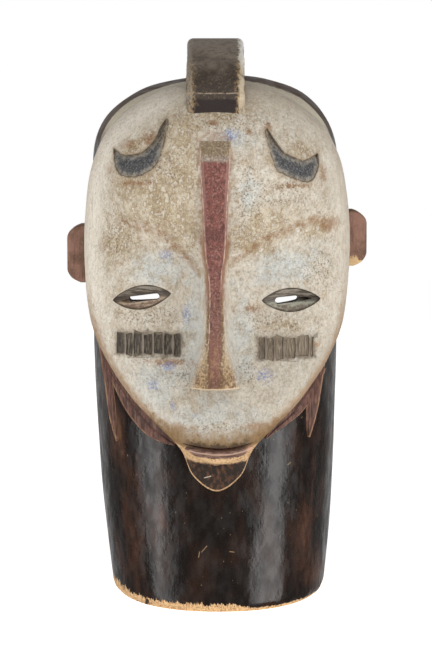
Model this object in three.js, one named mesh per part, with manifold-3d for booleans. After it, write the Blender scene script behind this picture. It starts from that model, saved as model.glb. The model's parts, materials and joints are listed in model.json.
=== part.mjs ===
// A Fang helmet mask: one carving in light wood, hollowed from behind and open at the back and below.
// A tall dark head and neck stand on a flat rim. In front of them is a whitened heart-shaped face with a
// raised nose bar, slit eyes, two sunk crescents, scored cheeks and a small chin. A crest runs over the
// crown and a plain block ear stands out on each side.
//
// Millimetres. X runs across the face, the face looks towards -Y, and Z is up from the lower rim. The
// plane y = 0 is the widest one of the head, and a "depth" is a distance forward of it, so y = -depth.
import * as THREE from 'three';
import { mergeVertices } from 'three/addons/utils/BufferGeometryUtils.js';
import Module from 'manifold-3d';

const wasm = await Module();
wasm.setup();

// Driving dimensions of the head and neck, which are the outer shell.
const BACK_PLANE = 60; // the open back, behind the widest plane
const HEAD_HALF_WIDTH = 110;
const FOOT_NARROWING = 13.3; // the half width lost from the jaw down to the rim
const FOOT_NARROWING_POWER = 1.7;
const JAW_HEIGHT = 225; // below this the shell narrows
const FOOT_LEAN = 1.5; // the neck leans a little to one side: its middle is here at the rim
const HEAD_LEAN = -1.4; // and here from the jaw up
const SHELL_REACH = 117; // forward, at the throat
const SHELL_POWER = 2.2; // of the superellipse that the shell is in plan
const RIM_ROUNDING = 4.5; // the worn lower edge
const RIM_ROUNDING_HEIGHT = 8;
const DOME_START = 385;
const DOME_RISE = 80;
const DOME_TILT = 0.035; // the crown is cut a little higher on one side
const DOME_SIDE_POWER = 2.4; // of the superellipse that the dome is, seen from the front
const DOME_FRONT_POWER = 3; // and seen from the side
const DOME_ARCH = 11; // how far the crown line falls from its top to the back plane
const DOME_ARCH_TOP = -20; // where the crown line is highest, along Y

// Driving dimensions of the hollow.
const SIDE_WALL = 19;
const DOME_WALL = 22;
const HOLLOW_POWER = 2.7;
const HOLLOW_REACH = [[0, 97], [110, 98], [200, 106], [290, 110], [350, 120], [385, 122]]; // height, depth

// The outline of the face: across, height and depth, down one side from the crown to the chin.
const FACE_EDGE = [
  [0, 459, 77], [46, 454, 73], [87, 428, 55], [108.5, 393, 44], [117, 345, 36], [118, 300, 35],
  [112, 250, 45], [98, 219, 68], [75, 189, 99], [50, 164.5, 116], [31, 146.5, 126], [20, 124, 131],
  [0, 111, 132],
];
const FACE_CENTRE = 290; // the height that the outline is seen from as a round form
const FACE_EDGE_BAND = 9; // the thickness of its edge
const FACE_ROOT = { share: 0.9, behind: 8 }; // its back, inside the shell: its size, and how much deeper
const FOREHEAD = [[285, 126], [310, 129.5], [335, 134], [360, 139.5], [385, 144.5], [410, 147], [440, 149]];
const FOREHEAD_RADIUS = 420;
const LOWER_FACE = [[111, 130], [134, 133], [160, 139], [200, 131], [250, 124], [275, 121], [330, 121]];
const LOWER_FACE_RADIUS = 480;
const EYE_HOLLOW = { across: 38, height: 280, size: 26, depth: 4 };
const BROW = { nose: 281, rise: 62, spread: 28, band: 34 };

// The nose bar, from the flat underside of the nose up to its mitred top: height, half width of its
// flat crown, half width over its bevels, half width at the foot of its flanks, depth of the crown, and
// how far the bevels fall.
const NOSE = [
  [203, 7.2, 20.4, 22.5, 160, 10],
  [212, 7.0, 18.6, 21.8, 159, 9],
  [224, 6.6, 14.0, 20.5, 157.5, 6.5],
  [237, 5.8, 10.0, 18.8, 155.5, 3.6],
  [250, 4.8, 7.6, 17.2, 154, 2.6],
  [268, 4.2, 6.7, 15.5, 151.5, 2.2],
  [288, 4.2, 5.4, 13.8, 149, 2.2],
  [304, 5.4, 6.4, 13.0, 146, 3],
  [313, 6.3, 8.2, 12.6, 145, 5],
  [339, 7.6, 9.8, 12.4, 143.5, 5],
  [363, 7.6, 10.9, 13.2, 144.5, 4.5],
  [391, 9.0, 12.8, 14.6, 143.5, 4],
  [400, 9.2, 13.0, 14.8, 142.7, 4],
  [401.5, 9.7, 13.0, 14.8, 141.8, 3.5],
  [411, 12.8, 13.1, 15.0, 136, 0.3],
];
const NOSE_ROOT = 4; // how far its flanks run in below the face

// The eyes: inner and outer corner of the almond, the two ends of the slit cut through in it, and half
// that slit's height.
const EYES = [
  { corners: [[-39.5, 280], [-89.5, 273.5]], slit: [[-49.5, 276.9], [-76, 273.4]], slitHalf: 2.5 },
  { corners: [[38.5, 274], [89, 275]], slit: [[50, 272.6], [70, 274.6]], slitHalf: 2.7 },
];
const EYE_HALF_HEIGHT = 10.4;
const EYE_CORNER_HALF_HEIGHT = 0.4;
const EYE_FUNNEL = 10; // how deep the bevels run in before the slit
const EYE_STATIONS = 8;
const EYE_SLIT_RUN = 60; // the slit's cut starts behind the funnel and ends in the hollow

// The two sunk crescents on the forehead, from the outer end to the tip near the nose: across and height at
// the lower edge, and across and height at the upper edge.
const CRESCENTS = [
  [
    [-88.2, 393, -88.4, 403.7], [-85.3, 385.4, -84.6, 400.6], [-79.1, 380.7, -78.3, 397.9],
    [-63.4, 382.1, -64.4, 400.4], [-49.5, 394.5, -54.1, 409.8], [-42.3, 420.5, -45.7, 425.7],
    [-41.5, 428, -42.5, 429],
  ],
  [
    [87.3, 390, 86, 399], [82.6, 378.8, 78.3, 395], [74.7, 376.1, 71.7, 394], [57.4, 382.6, 59.2, 399.3],
    [49.7, 388.2, 54.5, 403.1], [43.2, 408, 46.5, 414.5], [41, 419, 42.5, 421],
  ],
];
const CRESCENT_DEEP = 4; // at the upper edge
const CRESCENT_SHALLOW = 1; // at the lower edge
const CRESCENT_SLOPE = 0.35; // the most that it is deep for its width, where it narrows
const CRESCENT_STEPS = 16;

// The mouth: a slit that turns up at its corners, over a lower lip that stands out from the chin.
const MOUTH_SLIT = [[-29, 153, 0.5], [-11, 149.6, 1.8], [2, 148.4, 2], [15, 149.6, 1.8], [32, 154, 0.5]];
const LOWER_LIP = [[-26, 150, 0.6], [-13, 144, 4.8], [1.5, 141, 6.4], [16, 144, 4.8], [29.5, 151, 0.6]];
const LIP_RELIEF = 3.5;
const MOUTH_DEPTH = 3;

// The scored marks on the cheeks: rows of shallow upright panels with thin ridges left between them.
const CHEEK_MARKS = [
  { from: -87, to: -30, low: 228, high: 246.5, panels: 7 },
  { from: 35, to: 83, low: 224.5, high: 243, panels: 6 },
];
const CHEEK_MARK_DEPTH = 1;
const CHEEK_MARK_RIDGE = 1.6;

// The low tabs that hang below the edge of the face on the neck: across, height and half width.
const TABS = [
  [[-101, 230, 3.5], [-94.5, 190, 3.6], [-92, 169, 3.3], [-90, 157, 1.9], [-87, 145, 0.5]],
  [[-98, 217, 2], [-89, 201, 4.2], [-74, 180, 8.2], [-58, 163, 8.5], [-44, 154, 5.8], [-36, 148.5, 1.5]],
  [[91, 214, 4], [87, 192, 4.8], [84, 177, 5.4], [82, 164, 3.8], [80, 150, 0.6]],
  [[93, 209, 3], [82, 193, 7], [70, 178, 6.6], [60, 169, 5], [50.5, 162, 3.8], [42, 153.5, 1]],
];
const TAB_RELIEF = 2;

// The crest: a thick rib that stands on the forehead and runs back over the dome.
const CREST_HALF_WIDTH = 26;
const CREST_EDGE = 5; // the bevel along its edges
const CREST_FRONT = -123.8;
const CREST_FOOT = 430;
const CREST_BREAK = 449; // where its upright front turns back
const CREST_TOP = 498;
const CREST_TOP_AT = -15;
const CREST_BACK_TOP = 482;

// The ears: blocks with rounded corners. The right one was cut higher than the left one.
const EAR_REACH = 134.5;
const EAR_ROOT = 98;
const EAR_CORNER = 12;
const EARS = [{ side: -1, low: 280, high: 332 }, { side: 1, low: 295, high: 345 }];
const EAR_FRONT = -24;
const EAR_BACK = 4;
const EAR_EDGE = 3;

const CUT_CLEAR = 5; // how far what cuts the surface stands out over it
const RAISED_ROOT = -5; // and how far what is raised from it reaches in

const PAINT = { kaolin: '#cdc6b4', dark: '#2d2825', red: '#7d4b41', grey: '#5f5a55', inside: '#6b5442' };

// Steps along the curves.
const SHELL_STEPS = 34;
const HOLLOW_STEPS = 24;
const DOME_RINGS = 8;
const EDGE_STEPS = 3; // between two points of the face's outline
const FACE_RINGS = 24;

const mix = (from, to, share) => from + (to - from) * share;
const clamp = THREE.MathUtils.clamp;
const smoothstep = THREE.MathUtils.smoothstep;

// The value at a place on a smooth line through rows of [place, value, value, ...], place rising.
function along(rows, place, column = 1) {
  const last = rows.length - 1;
  if (place <= rows[0][0]) return rows[0][column];
  if (place >= rows[last][0]) return rows[last][column];
  let i = 0;
  while (place > rows[i + 1][0]) i += 1;
  const span = rows[i + 1][0] - rows[i][0];
  const slope = (low, high) => (rows[high][column] - rows[low][column]) / (rows[high][0] - rows[low][0]);
  const startSlope = i > 0 ? slope(i - 1, i + 1) : slope(0, 1);
  const endSlope = i + 1 < last ? slope(i, i + 2) : slope(i, i + 1);
  const t = (place - rows[i][0]) / span;
  const bend = (1 - t) * (startSlope * span * (1 - t) * t) - t * (endSlope * span * (1 - t) * t);
  return mix(rows[i][column], rows[i + 1][column], t * t * (3 - 2 * t)) + bend;
}

// A closed body from the triangles of a geometry that face out.
function solidFrom(geometry) {
  const bare = geometry.clone();
  bare.deleteAttribute('normal');
  bare.deleteAttribute('uv');
  const merged = mergeVertices(bare, 1e-4);
  const vertProperties = Float32Array.from(merged.attributes.position.array);
  const triVerts = Uint32Array.from(merged.index.array);
  return new wasm.Manifold(new wasm.Mesh({ numProp: 3, vertProperties, triVerts }));
}

// A closed body through rings of points, each with the same number of points, with a flat cap at each end.
function loft(rings) {
  const count = rings[0].length;
  const points = rings.flat();
  const triangles = [];
  for (let r = 0; r + 1 < rings.length; r += 1) {
    for (let i = 0; i < count; i += 1) {
      const [a, b] = [r * count + i, r * count + (i + 1) % count];
      const [c, d] = [b + count, a + count];
      if (points[a].distanceTo(points[c]) < points[b].distanceTo(points[d])) {
        triangles.push([a, b, c], [a, c, d]);
      } else {
        triangles.push([a, b, d], [b, c, d]);
      }
    }
  }
  const capped = [[0, rings[0], true], [(rings.length - 1) * count, rings.at(-1), false]];
  for (const [first, ring, flipped] of capped) {
    const middle = points.push(centroid(ring)) - 1;
    for (let i = 0; i < count; i += 1) {
      const edge = [first + i, first + (i + 1) % count];
      triangles.push(flipped ? [edge[1], edge[0], middle] : [edge[0], edge[1], middle]);
    }
  }
  const outward = signedVolume(points, triangles) > 0;
  const geometry = new THREE.BufferGeometry().setFromPoints(points);
  geometry.setIndex(triangles.flatMap(([a, b, c]) => (outward ? [a, b, c] : [a, c, b])));
  return solidFrom(geometry);
}

function centroid(ring) {
  return ring.reduce((sum, point) => sum.add(point), new THREE.Vector3()).divideScalar(ring.length);
}

function signedVolume(points, triangles) {
  const cross = new THREE.Vector3();
  const corner = ([a, b, c]) => points[a].dot(cross.crossVectors(points[b], points[c])) / 6;
  return triangles.reduce((sum, triangle) => sum + corner(triangle), 0);
}

// How much of its size a dome keeps at a share of its rise.
const domeShare = (share, power) => (1 - share ** power) ** (1 / power);

// The half width of the shell at a height below the dome, and where its middle is.
function shellHalfWidth(height) {
  const share = Math.max(0, 1 - height / JAW_HEIGHT);
  return HEAD_HALF_WIDTH - FOOT_NARROWING * share ** FOOT_NARROWING_POWER;
}

function shellMiddle(height) {
  return mix(FOOT_LEAN, HEAD_LEAN, clamp(height / JAW_HEIGHT, 0, 1));
}

function rimRounding(height) {
  return RIM_ROUNDING * Math.max(0, 1 - height / RIM_ROUNDING_HEIGHT) ** 2;
}

// How deep the shell's front is at a place across and a height on it.
function shellDepth(across, height) {
  const share = Math.min(1, Math.abs(across - shellMiddle(height)) / shellHalfWidth(height));
  return SHELL_REACH * (1 - share ** SHELL_POWER) ** (1 / SHELL_POWER);
}

// One level ring of the shell or the hollow: round in front, straight at the sides, and flat at the back.
function levelRing(height, { halfWidth, reach, power, back, steps }) {
  const middle = shellMiddle(height);
  const ring = [];
  for (let i = 0; i <= steps; i += 1) {
    const turn = Math.PI * i / steps;
    const across = Math.sign(Math.cos(turn)) * Math.abs(Math.cos(turn)) ** (2 / power) * halfWidth;
    ring.push(new THREE.Vector3(middle + across, -(Math.sin(turn) ** (2 / power)) * reach, height));
  }
  for (const side of [-1, 1]) ring.push(new THREE.Vector3(middle + side * halfWidth, back, height));
  return ring;
}

// The rings of a dome, bent so that its crown line is an arch from front to back.
function domeRings(rise, size) {
  const span = BACK_PLANE - DOME_ARCH_TOP;
  return Array.from({ length: DOME_RINGS }, (_, i) => {
    const share = 0.998 * Math.sin(Math.PI / 2 * (i + 1) / DOME_RINGS); // stops short of a single point
    const halfWidth = size.halfWidth * domeShare(share, DOME_SIDE_POWER);
    const reach = size.reach * domeShare(share, DOME_FRONT_POWER);
    const ring = levelRing(DOME_START + share * rise, { ...size, halfWidth, reach });
    for (const point of ring) {
      const fall = DOME_ARCH * ((point.y - DOME_ARCH_TOP) / span) ** 2;
      point.z += share ** 2 * (DOME_TILT * point.x - fall);
    }
    return ring;
  });
}

// The head and neck, before anything is cut out of them.
function shell() {
  const size = { power: SHELL_POWER, back: BACK_PLANE, steps: SHELL_STEPS };
  const rim = [0, RIM_ROUNDING_HEIGHT / 4, RIM_ROUNDING_HEIGHT];
  const rings = [...rim, 40, 80, 120, 160, 195, JAW_HEIGHT, 300, DOME_START].map((height) => {
    const halfWidth = shellHalfWidth(height) - rimRounding(height);
    return levelRing(height, { ...size, halfWidth, reach: SHELL_REACH - rimRounding(height) });
  });
  const dome = domeRings(DOME_RISE, { ...size, halfWidth: HEAD_HALF_WIDTH, reach: SHELL_REACH });
  return loft([...rings, ...dome]);
}

// The space inside, run out past the back plane and the rim.
function hollow() {
  const past = 20;
  const size = { power: HOLLOW_POWER, back: BACK_PLANE + past, steps: HOLLOW_STEPS };
  const rings = [-past, 0, 60, 110, 160, JAW_HEIGHT, 290, 335, DOME_START].map((height) => levelRing(height, {
    ...size,
    halfWidth: shellHalfWidth(Math.max(0, height)) - SIDE_WALL,
    reach: along(HOLLOW_REACH, height),
  }));
  const top = { ...size, halfWidth: HEAD_HALF_WIDTH - SIDE_WALL, reach: HOLLOW_REACH.at(-1)[1] };
  return loft([...rings, ...domeRings(DOME_RISE - DOME_WALL, top)]);
}

// The outline of the face as a closed line of [across, height, depth] points, the same on both sides.
const faceEdge = (() => {
  const side = FACE_EDGE.map(([across, height, depth]) => new THREE.Vector3(across, height, depth));
  const otherSide = side.slice(1, -1).reverse().map((point) => new THREE.Vector3(-point.x, point.y, point.z));
  const curve = new THREE.CatmullRomCurve3([...side, ...otherSide], true, 'catmullrom', 0.5);
  return curve.getPoints((side.length + otherSide.length) * EDGE_STEPS).slice(0, -1);
})();

// The same outline by direction from the face's centre, clockwise from straight up.
const edgeByDirection = faceEdge
  .map((point) => [direction(point.x, point.y), Math.hypot(point.x, point.y - FACE_CENTRE), point.z])
  .sort((a, b) => a[0] - b[0]);

function direction(across, height) {
  return Math.atan2(across, height - FACE_CENTRE);
}

// The distance from the centre to the outline, and the outline's depth, in one direction.
function edgeTowards(angle) {
  let i = edgeByDirection.findIndex((row) => row[0] > angle);
  if (i < 0) i = 0;
  const before = edgeByDirection.at(i - 1);
  const after = edgeByDirection[i];
  const turn = Math.PI * 2;
  const share = ((angle - before[0] + turn) % turn) / ((after[0] - before[0] + turn) % turn);
  return { reach: mix(before[1], after[1], share), depth: mix(before[2], after[2], share) };
}

// The relief of the face well inside its outline: a swelling forehead over a hollowed lower face.
function faceRelief(across, height) {
  const side = Math.abs(across);
  const forehead = along(FOREHEAD, height) - side ** 2 / (2 * FOREHEAD_RADIUS);
  const offEye = Math.hypot((side - EYE_HOLLOW.across) / 1.3, height - EYE_HOLLOW.height) / EYE_HOLLOW.size;
  const eyeHollow = EYE_HOLLOW.depth * Math.exp(-(offEye ** 2));
  const lower = along(LOWER_FACE, height) - side ** 2 / (2 * LOWER_FACE_RADIUS) - eyeHollow;
  const brow = BROW.nose + BROW.rise * (1 - Math.exp(-side / BROW.spread));
  return mix(lower, forehead, smoothstep(height, brow - BROW.band / 2, brow + BROW.band / 2));
}

// The depth of the face's surface, which rounds over towards its outline: softly at the forehead and
// sharply along the jaw.
function faceDepth(across, height) {
  const angle = direction(across, height);
  const edge = edgeTowards(angle);
  const share = Math.min(1, Math.hypot(across, height - FACE_CENTRE) / edge.reach);
  const power = mix(3.6, 9, smoothstep(Math.abs(angle), 0.9, 2.1));
  return mix(edge.depth, faceRelief(across, height), Math.sqrt(1 - share ** power));
}

// The face as a thick shield: its carved front, the band round its edge, and a root inside the shell.
function face() {
  const rings = [];
  for (let r = 1; r <= FACE_RINGS; r += 1) {
    const share = Math.sin(Math.PI / 2 * r / FACE_RINGS);
    rings.push(faceEdge.map((edge) => {
      const across = edge.x * share;
      const height = mix(FACE_CENTRE, edge.y, share);
      return new THREE.Vector3(across, r < FACE_RINGS ? -faceDepth(across, height) : -edge.z, height);
    }));
  }
  const shrunk = (share, back) => faceEdge.map((edge) =>
    new THREE.Vector3(edge.x * share, -edge.z + back, mix(FACE_CENTRE, edge.y, share)));
  rings.push(shrunk(0.995, FACE_EDGE_BAND), shrunk(FACE_ROOT.share, FACE_EDGE_BAND + FACE_ROOT.behind));
  return loft(rings);
}

// A place on a carved surface, raised from it square to its slope.
function onSurface(depthAt, across, height, raised) {
  const step = 0.5;
  const slope = new THREE.Vector3(
    -(depthAt(across + step, height) - depthAt(across - step, height)) / (2 * step),
    -1,
    -(depthAt(across, height + step) - depthAt(across, height - step)) / (2 * step),
  ).normalize();
  return new THREE.Vector3(across, -depthAt(across, height), height).addScaledVector(slope, raised);
}

// A band that follows a surface along a line of [across, height, half width] points. Its section is a
// closed outline of [share of the half width, height over the surface] points.
function band(depthAt, line, section, steps) {
  const points = line.map((row) => new THREE.Vector3(...row));
  const curve = new THREE.CatmullRomCurve3(points, false, 'catmullrom');
  const rings = [];
  for (let i = 0; i <= steps; i += 1) {
    const at = curve.getPoint(i / steps);
    const ahead = curve.getTangent(i / steps).setZ(0).normalize();
    rings.push(section.map(([share, raised]) => {
      const aside = share * at.z;
      return onSurface(depthAt, at.x - ahead.y * aside, at.y + ahead.x * aside, raised);
    }));
  }
  return loft(rings);
}

function noseBar() {
  return loft(NOSE.map(([height, crown, bevel, foot, depth, fall]) => {
    const root = Math.min(faceDepth(foot, height), depth - fall) - NOSE_ROOT;
    const half = [[foot, root], [bevel, depth - fall], [crown, depth]];
    const other = half.map(([across, d]) => [-across, d]).reverse();
    return [...half, ...other].map(([across, d]) => new THREE.Vector3(across, -d, height));
  }));
}

// An eye: an almond funnel that narrows to a slit, and the slit itself cut through to the hollow.
function eyeCuts({ corners, slit, slitHalf }) {
  const [inner, outer] = corners;
  const line = [];
  for (let i = 0; i <= EYE_STATIONS; i += 1) {
    const share = i / EYE_STATIONS;
    const open = Math.sin(Math.PI * share) ** 0.8; // a little fuller than a plain arc
    const half = mix(EYE_CORNER_HALF_HEIGHT, EYE_HALF_HEIGHT, open);
    line.push([mix(inner[0], outer[0], share), mix(inner[1], outer[1], share), half]);
  }
  const rings = line.map(([across, height, half]) => {
    const floor = Math.min(EYE_FUNNEL, half * 1.1); // towards its corners the funnel runs out
    const narrow = Math.min(slitHalf, half * 0.4);
    const upper = [[half + 2, 3], [half, 0], [narrow, -floor]];
    const lower = upper.map(([aside, raised]) => [-aside, raised]).reverse();
    return [...upper, ...lower].map(([aside, raised]) =>
      new THREE.Vector3(across, -faceDepth(across, height + aside) - raised, height + aside));
  });
  const [near, far] = slit;
  const straight = Math.hypot(far[0] - near[0], far[1] - near[1]) / 2 - slitHalf; // half of its straight run
  const stadium = new THREE.Shape()
    .moveTo(-straight, -slitHalf)
    .lineTo(straight, -slitHalf)
    .absarc(straight, 0, slitHalf, -Math.PI / 2, Math.PI / 2, false)
    .absarc(-straight, 0, slitHalf, Math.PI / 2, Math.PI * 1.5, false);
  const run = { depth: EYE_SLIT_RUN, bevelEnabled: false, curveSegments: 6 };
  const through = new THREE.ExtrudeGeometry(stadium, run)
    .rotateZ(Math.atan2(far[1] - near[1], far[0] - near[0]))
    .rotateX(Math.PI / 2)
    .translate((near[0] + far[0]) / 2, -EYE_SLIT_RUN, (near[1] + far[1]) / 2);
  return [loft(rings), solidFrom(through)];
}

// A sunk crescent: a scooped channel between its two edges, with a sharp step at the upper one.
function crescentCut(rows) {
  const edge = (points) => new THREE.CatmullRomCurve3(points, false, 'catmullrom').getPoints(CRESCENT_STEPS);
  const lower = edge(rows.map(([across, height]) => new THREE.Vector3(across, height, 0)));
  const upper = edge(rows.map(([, , across, height]) => new THREE.Vector3(across, height, 0)));
  return loft(lower.map((low, i) => {
    const deep = Math.min(CRESCENT_DEEP, CRESCENT_SLOPE * low.distanceTo(upper[i]));
    const shallow = Math.min(CRESCENT_SHALLOW, deep);
    const section = [[0, CUT_CLEAR], [1, CUT_CLEAR], [1, -deep], [0.5, -0.8 * deep], [0, -shallow]];
    return section.map(([share, raised]) => {
      const at = low.clone().lerp(upper[i], share);
      return onSurface(faceDepth, at.x, at.y, raised);
    });
  }));
}

// The panels of one cheek mark, each a shallow upright cut.
function cheekMarkCuts({ from, to, low, high, panels }) {
  const pitch = (to - from) / panels;
  const half = (pitch - CHEEK_MARK_RIDGE) / 2;
  const section = [[-1, CUT_CLEAR], [1, CUT_CLEAR], [1, -CHEEK_MARK_DEPTH], [-1, -CHEEK_MARK_DEPTH]];
  return Array.from({ length: panels }, (_, i) => {
    const middle = from + pitch * (i + 0.5);
    return band(faceDepth, [[middle, low, half], [middle, high, half]], section, 1);
  });
}

function mouthCut() {
  return band(faceDepth, MOUTH_SLIT, [[-1, CUT_CLEAR], [1, CUT_CLEAR], [0, -MOUTH_DEPTH]], 12);
}

function lowerLip() {
  const round = [[-1, 0.4], [-0.35, LIP_RELIEF], [0.9, LIP_RELIEF * 0.8]];
  return band(faceDepth, LOWER_LIP, [[-1, RAISED_ROOT], ...round, [1, RAISED_ROOT]], 12);
}

function tab(line) {
  const flat = [[-1, 0.2], [-0.7, TAB_RELIEF], [0.7, TAB_RELIEF], [1, 0.2]];
  return band(shellDepth, line, [[-1, RAISED_ROOT], ...flat, [1, RAISED_ROOT]], 9);
}

// The crest, drawn from the side and given its thickness across the head.
function crest() {
  const inside = DOME_START + DOME_RISE - DOME_WALL;
  const side = new THREE.Shape()
    .moveTo(CREST_FRONT, CREST_FOOT)
    .lineTo(BACK_PLANE, inside)
    .lineTo(BACK_PLANE, CREST_BACK_TOP)
    .quadraticCurveTo(25, CREST_TOP, CREST_TOP_AT, CREST_TOP)
    .bezierCurveTo(-55, CREST_TOP, -108, 484, CREST_FRONT, CREST_BREAK);
  const shape = new THREE.ExtrudeGeometry(side, {
    depth: 2 * (CREST_HALF_WIDTH - CREST_EDGE),
    bevelThickness: CREST_EDGE,
    bevelSize: CREST_EDGE,
    bevelOffset: -CREST_EDGE,
    bevelSegments: 2,
    curveSegments: 8,
  });
  shape.translate(0, 0, -(CREST_HALF_WIDTH - CREST_EDGE)).rotateX(Math.PI / 2).rotateZ(Math.PI / 2);
  return solidFrom(shape);
}

// An ear: a plain block let out of the side of the head, with its two outer corners rounded off.
function ear({ side, low, high }) {
  const outline = new THREE.Shape()
    .moveTo(EAR_ROOT, low)
    .lineTo(EAR_REACH - EAR_CORNER, low)
    .quadraticCurveTo(EAR_REACH, low + EAR_CORNER / 3, EAR_REACH, low + EAR_CORNER)
    .lineTo(EAR_REACH, high - EAR_CORNER)
    .quadraticCurveTo(EAR_REACH, high - EAR_CORNER / 3, EAR_REACH - EAR_CORNER, high)
    .lineTo(EAR_ROOT, high);
  const shape = new THREE.ExtrudeGeometry(outline, {
    depth: EAR_BACK - EAR_FRONT - 2 * EAR_EDGE,
    bevelThickness: EAR_EDGE,
    bevelSize: EAR_EDGE,
    bevelOffset: -EAR_EDGE,
    bevelSegments: 1,
    curveSegments: 5,
  });
  shape.rotateX(Math.PI / 2).translate(0, EAR_BACK - EAR_EDGE, 0);
  if (side < 0) shape.rotateZ(Math.PI).translate(0, EAR_FRONT + EAR_BACK, 0); // it is alike on both faces
  return solidFrom(shape);
}

const join = (solids) => solids.reduce((whole, solid) => whole.add(solid));

// Every face of the carving keeps the paint of the body that it was cut from or cut with.
const paints = new Map();
function painted(colour, ...solids) {
  return solids.map((solid) => {
    const own = solid.asOriginal();
    paints.set(own.originalID(), new THREE.Color(colour));
    return own;
  });
}

// Everything that stands is joined first, and everything that is cut is then taken away.
const standing = join([
  ...painted(PAINT.dark, shell(), crest()),
  ...painted(PAINT.kaolin, face()),
  ...painted(PAINT.red, noseBar(), lowerLip(), ...EARS.map(ear), ...TABS.map(tab)),
]);
const carved = standing.subtract(join([
  ...painted(PAINT.inside, hollow()),
  ...painted(PAINT.grey, mouthCut(), ...CRESCENTS.map(crescentCut)),
  ...painted(PAINT.grey, ...EYES.flatMap(eyeCuts), ...CHEEK_MARKS.flatMap(cheekMarkCuts)),
]));

// The finished surface, with a colour on each corner of each triangle.
function surfaceOf(solid) {
  const { vertProperties, triVerts, runIndex, runOriginalID } = solid.getMesh();
  const indexed = new THREE.BufferGeometry();
  indexed.setAttribute('position', new THREE.Float32BufferAttribute(vertProperties, 3));
  indexed.setIndex(Array.from(triVerts));
  const surface = indexed.toNonIndexed();
  const colours = new Float32Array(triVerts.length * 3);
  runOriginalID.forEach((id, run) => {
    for (let corner = runIndex[run]; corner < runIndex[run + 1]; corner += 1) {
      paints.get(id).toArray(colours, corner * 3);
    }
  });
  surface.setAttribute('color', new THREE.BufferAttribute(colours, 3));
  surface.computeVertexNormals();
  surface.computeBoundingBox();
  return surface;
}

const surface = surfaceOf(carved);
const wood = new THREE.MeshStandardMaterial({ vertexColors: true, roughness: 0.7, metalness: 0 });
const mask = new THREE.Mesh(surface, wood);
mask.name = 'mask';

// The origin is the middle of the footprint, on the ground.
const middle = surface.boundingBox.getCenter(new THREE.Vector3());
mask.position.set(-middle.x, -middle.y, -surface.boundingBox.min.z);

const part = new THREE.Group();
part.add(mask);

export default part;
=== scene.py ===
# A Fang helmet mask: one carving in light wood, painted, stained and worn. It is cut here again at a finer
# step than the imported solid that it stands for, with the same named sizes but for a few: here the crescents
# are shallower, the ridges in the cheek marks thinner, the nose bar a little aside and the crest worn down.
#
# Lengths are millimetres of the carving's own frame until a body is made. X runs across the face, the face
# looks towards -Y, and Z is up from the rim. The plane y = 0 is the widest one of the head, and a "depth" is
# a distance forward of it. Colours are red, green and blue from 0 to 255, as on a screen.
import json

import bpy
import numpy as np
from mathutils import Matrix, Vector, noise

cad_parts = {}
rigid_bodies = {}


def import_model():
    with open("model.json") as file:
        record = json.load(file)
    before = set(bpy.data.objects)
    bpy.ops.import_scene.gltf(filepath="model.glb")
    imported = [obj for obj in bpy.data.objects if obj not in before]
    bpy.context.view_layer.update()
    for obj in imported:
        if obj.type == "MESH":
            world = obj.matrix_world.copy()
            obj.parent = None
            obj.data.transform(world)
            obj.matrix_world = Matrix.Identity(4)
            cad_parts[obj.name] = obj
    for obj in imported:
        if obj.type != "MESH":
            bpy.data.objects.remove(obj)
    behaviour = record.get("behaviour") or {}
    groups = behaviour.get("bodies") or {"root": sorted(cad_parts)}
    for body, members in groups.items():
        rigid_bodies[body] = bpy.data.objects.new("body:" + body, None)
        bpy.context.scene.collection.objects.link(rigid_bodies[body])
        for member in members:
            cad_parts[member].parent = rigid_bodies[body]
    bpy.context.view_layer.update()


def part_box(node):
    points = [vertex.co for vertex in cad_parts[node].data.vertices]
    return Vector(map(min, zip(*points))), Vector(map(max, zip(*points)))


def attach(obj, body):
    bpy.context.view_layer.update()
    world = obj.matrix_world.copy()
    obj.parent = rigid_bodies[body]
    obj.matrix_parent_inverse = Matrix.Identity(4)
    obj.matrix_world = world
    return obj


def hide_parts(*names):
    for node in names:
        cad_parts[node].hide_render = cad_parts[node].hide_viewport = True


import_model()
low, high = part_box("mask")
MASK_HEIGHT = 498
BACK_PLANE = 60  # the open back, behind the widest plane
MM = (high.z - low.z) / MASK_HEIGHT
WIDEST_PLANE = high.y / MM - BACK_PLANE
standing = []  # the bodies of wood
cut_away = []  # the bodies that the tools took out of them
fields = {}  # what the paint varies with, by name: functions of across, depth and height

# The head and neck.
# A half round shell of wood, cut with an adze, stained dark brown and rubbed glossy by hands. It stands on
# its lower rim, where the edge has splintered down to bare wood.
HEAD_HALF_WIDTH = 110
FOOT_NARROWING = 13.3  # the half width lost from the jaw down to the rim
FOOT_NARROWING_POWER = 1.7
JAW_HEIGHT = 225  # below this the shell narrows
FOOT_LEAN = 1.5  # the neck leans a little to one side: its middle is here at the rim
HEAD_LEAN = -1.4  # and here from the jaw up
SHELL_REACH = 117  # how far forward it comes
SHELL_POWER = 2.2  # of the superellipse that the shell is in plan
SHELL_ARC_STEPS = 112
SHELL_SIDE_STEPS = 15
SHELL_RING_STEP = 3
RIM_ROUNDING = 4.5  # the worn lower edge
RIM_ROUNDING_HEIGHT = 8
DOME_START = 385
DOME_RISE = 80
DOME_TILT = 0.035  # the crown is cut a little higher on one side
DOME_SIDE_POWER = 2.4  # of the superellipse that the dome is, seen from the front
DOME_FRONT_POWER = 3  # and seen from the side
DOME_ARCH = 11  # how far the crown line falls from its top to the back plane
DOME_ARCH_TOP = -20  # where the crown line is highest, along Y
DOME_RINGS = 26
DOME_LAST_SHARE = 0.998  # the last ring lies just short of the crown line
ADZE_LUMP = (24, 24, 75)
ADZE_DEPTH = 0.9
CHIP_DEPTH = 2.5  # of the chips that the rim has lost
NECK_BLACK = (24, 18, 15)
NECK_BROWN = (70, 46, 35)
NECK_WORN = (112, 84, 62)
NECK_UMBER = (44, 29, 22)
GRAIN_BLACK = (16, 13, 12)
SPILT_KAOLIN = (212, 200, 178)
SPILT_EDGE = (52, 41, 32)
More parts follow.
